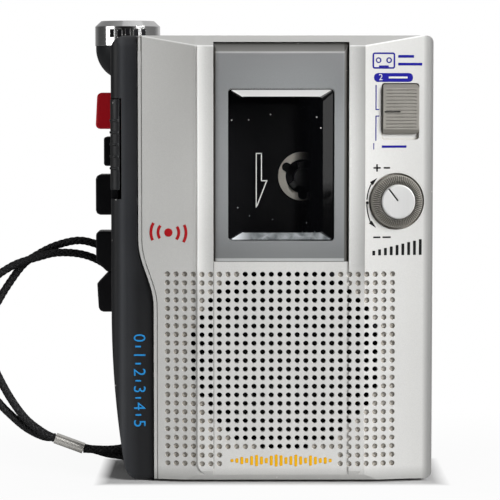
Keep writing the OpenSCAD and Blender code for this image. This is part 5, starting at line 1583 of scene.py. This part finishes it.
@dataclass
class Keys(Assembly):
    """Keys along the left side with their signs, the pause slider and the numbers on the dark panel."""

    front_y: float = 3.6
    back_y: float = 11.6
    root_x: float = -37.0
    outer_reach: float = 3.0
    corner_gap: float = 1.5
    sign_rise: float = 0.1 * MM
    slider_low: Point = (-42.12, -15.1, 76.2)
    slider_high: Point = (-39.65, -11.2, 99.7)
    slider_r: float = 2.4
    ribs: int = 5
    rib_pitch: float = 3.12
    rib_half: float = 0.3
    rib_proud: float = 0.2
    rib_middle: float = 88.0
    numbers: int = 6
    number_pitch: float = 4.5
    number_size: float = 4.4
    first_number: float = 11.3
    first_dash: float = 9.05
    numbers_at: Point = (-34.75, -14.98, 26.2)
    forms: Sequence[KeyForm] = (
        KeyForm(Body.RECORD, 91.7, 101.4, -47.0, -46.5, (1.3, 4), (1.2, 4), F.RED),
        KeyForm(Body.STOP, 81.8, 89.6, -44.8, -44.8, (0.7, 3), (0.7, 3), F.KEY_BLACK),
        KeyForm(Body.PLAY, 68.7, 79.5, -47.0, -47.0, (1.2, 2), (1.2, 2), F.KEY_BLACK),
        KeyForm(Body.FORWARD, 53.45, 64.3, -47.0, -47.0, (2.9, 1), (1.1, 3), F.KEY_BLACK),
        KeyForm(Body.REWIND, 42.6, 53.15, -46.3, -46.9, (1.2, 2), (2.9, 1), F.KEY_BLACK),
    )

    def build(self) -> None:
        """Makes the keys and the slider and prints the signs and numbers."""
        signs = {
            Body.RECORD: Marks().disc(0, 0, 1.5), Body.STOP: Marks().bar(0, 0, 2.6, 2.6),
            Body.PLAY: Marks().wedge(0, 2.6, 2.4, 2.8),
            Body.FORWARD: Marks().wedge(-1.1, 0, 2.2, 2.6).wedge(1.1, 0, 2.2, 2.6),
            Body.REWIND: Marks().wedge(-1.1, 0, 2.2, 2.6, 180).wedge(1.1, 0, 2.2, 2.6, 180),
        }
        for form in self.forms:
            node = form.body.value
            cap = deliver(self._cap(form), form.body, self.look(form.finish))
            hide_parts(node)
            place = (form.middle[0], (self.front_y + self.back_y) / 2, form.middle[1])
            white = self.look(F.INK_WHITE)
            signs[form.body].lay("mark_" + node, Side.LEFT, place, form.body, white, self.sign_rise)
        slider = deliver(self._slider(), Body.PAUSE, self.look(F.BLACK))
        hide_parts("pause_slider")
        count = Marks()
        for i in range(self.numbers):
            drop = self.number_pitch * i
            count.digit(str(i), 0, self.first_number - drop, self.number_size, -90)
            if i < self.numbers - 1:
                count.bar(-0.2, self.first_dash - drop, 1.5, 0.45, 0.1)
        count.lay("mark_count", Side.FRONT, self.numbers_at, Body.CASE, self.look(F.INK_BLUE))

    def _slider(self) -> bpy.types.Object:
        """Models the pause slider round the panel's corner, with five low ribs.

        Returns:
            The slider in its place.
        """
        low, high = Vector(self.slider_low), Vector(self.slider_high)
        parts = [self._corner_piece(low, high)]
        half = self.rib_half
        for i in range(self.ribs):
            z = self.rib_middle + self.rib_pitch * (i - (self.ribs - 1) / 2)
            parts.append(self._corner_piece(
                Vector((low.x - self.rib_proud, low.y - self.rib_proud, z - half)),
                Vector((high.x - half, high.y, z + half)),
            ))
        return settle(join(parts), "pause_slider_cap")

    def _corner_piece(self, low: Vector, high: Vector) -> bpy.types.Object:
        """Models a box whose upright front left edge is rounded like the panel.

        Args:
            low: the lower corner in millimetres.
            high: the upper corner in millimetres.

        Returns:
            The box.
        """
        obj = block(low, high, 0.0)
        middle = (low + high) / 2 * MM
        with editing(obj):
            select_verts(obj, lambda co: co.x < middle.x and co.y < middle.y)
            bpy.ops.mesh.bevel(offset=self.slider_r * MM, segments=10, affect="EDGES")
        soften(obj, 0.15, 2, 35)
        return obj

    def _cap(self, form: KeyForm) -> bpy.types.Object:
        """Models one key from a box: slants its outer face and rounds or cuts its corners.

        Args:
            form: the key's sizes.

        Returns:
            The key in its place.
        """
        low = Vector((form.out_high, self.front_y, form.low))
        high = Vector((self.root_x, self.back_y, form.high))
        obj = block(low, high, 0.0)
        middle = form.middle[1] * MM
        edge_x = (form.out_high + self.outer_reach) * MM
        with editing(obj):
            select_verts(obj, lambda co: co.x < edge_x and co.z < middle)
            bpy.ops.transform.translate(value=((form.out_low - form.out_high) * MM, 0, 0))
            self._round(form.corner_low)
            select_verts(obj, lambda co: co.x < edge_x and co.z > middle + self.corner_gap * MM)
            self._round(form.corner_high)
        soften(obj, 0.3, 3, 35)
        return settle(obj, form.body.value + "_cap")

    def _round(self, corner: tuple[float, int]) -> None:
        """Rounds or cuts the selected edge: radius in millimetres and number of steps."""
        bpy.ops.mesh.bevel(offset=corner[0] * MM, segments=corner[1], affect="EDGES")


@dataclass
class Reels(Assembly):
    """Black three-lobed drivers in front of the two reel rings."""

    ring_y: float = 0.15
    thick: float = 0.8
    hub_r: float = 4.5
    lobes: int = 3
    lobe_at: float = 3.7
    lobe: Point = (4.8, 2.4, 1.1)

    def build(self) -> None:
        """Makes a driver for each spindle."""
        for body, z in ((Body.SUPPLY, SUPPLY_Z), (Body.TAKEUP, TAKEUP_Z)):
            driver = Marks().disc(0, 0, self.hub_r)
            for i in range(self.lobes):
                turn = 30 + 360 / self.lobes * i
                x, y = (self.lobe_at * way(math.radians(turn)) for way in (math.cos, math.sin))
                driver.bar(x, y, *self.lobe, turn)
            place = (REEL_X, self.ring_y - self.thick / 2, z)
            black = self.look(F.INNER_BLACK)
            driver.lay(body.value + "_driver", Side.FRONT, place, body, black, self.thick / 2 * MM)


def dress_nodes(finishes: Finishes) -> None:
    """Gives every CAD node its finish.

    Args:
        finishes: the recorder's finishes.
    """
    looks = {name: finish for finish, names in DRESSED_NODES.items() for name in names.split()}
    for name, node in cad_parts.items():
        node.data.materials.clear()
        node.data.materials.append(finishes.get(looks[name]))


def main() -> None:
    """Builds the picture and the recorder's looks, piece by piece."""
    logging.basicConfig(level=logging.INFO, format="%(name)s: %(message)s")
    finishes = Finishes()
    Studio().build()
    Strap(finishes).build()
    Microphone(finishes).build()
    dress_nodes(finishes)
    lid = Lid(finishes)
    lid.build()
    Window(finishes).build()
    Controls(finishes).build(lid)
    Keys(finishes).build()
    Reels(finishes).build()


if __name__ == "__main__":
    main()
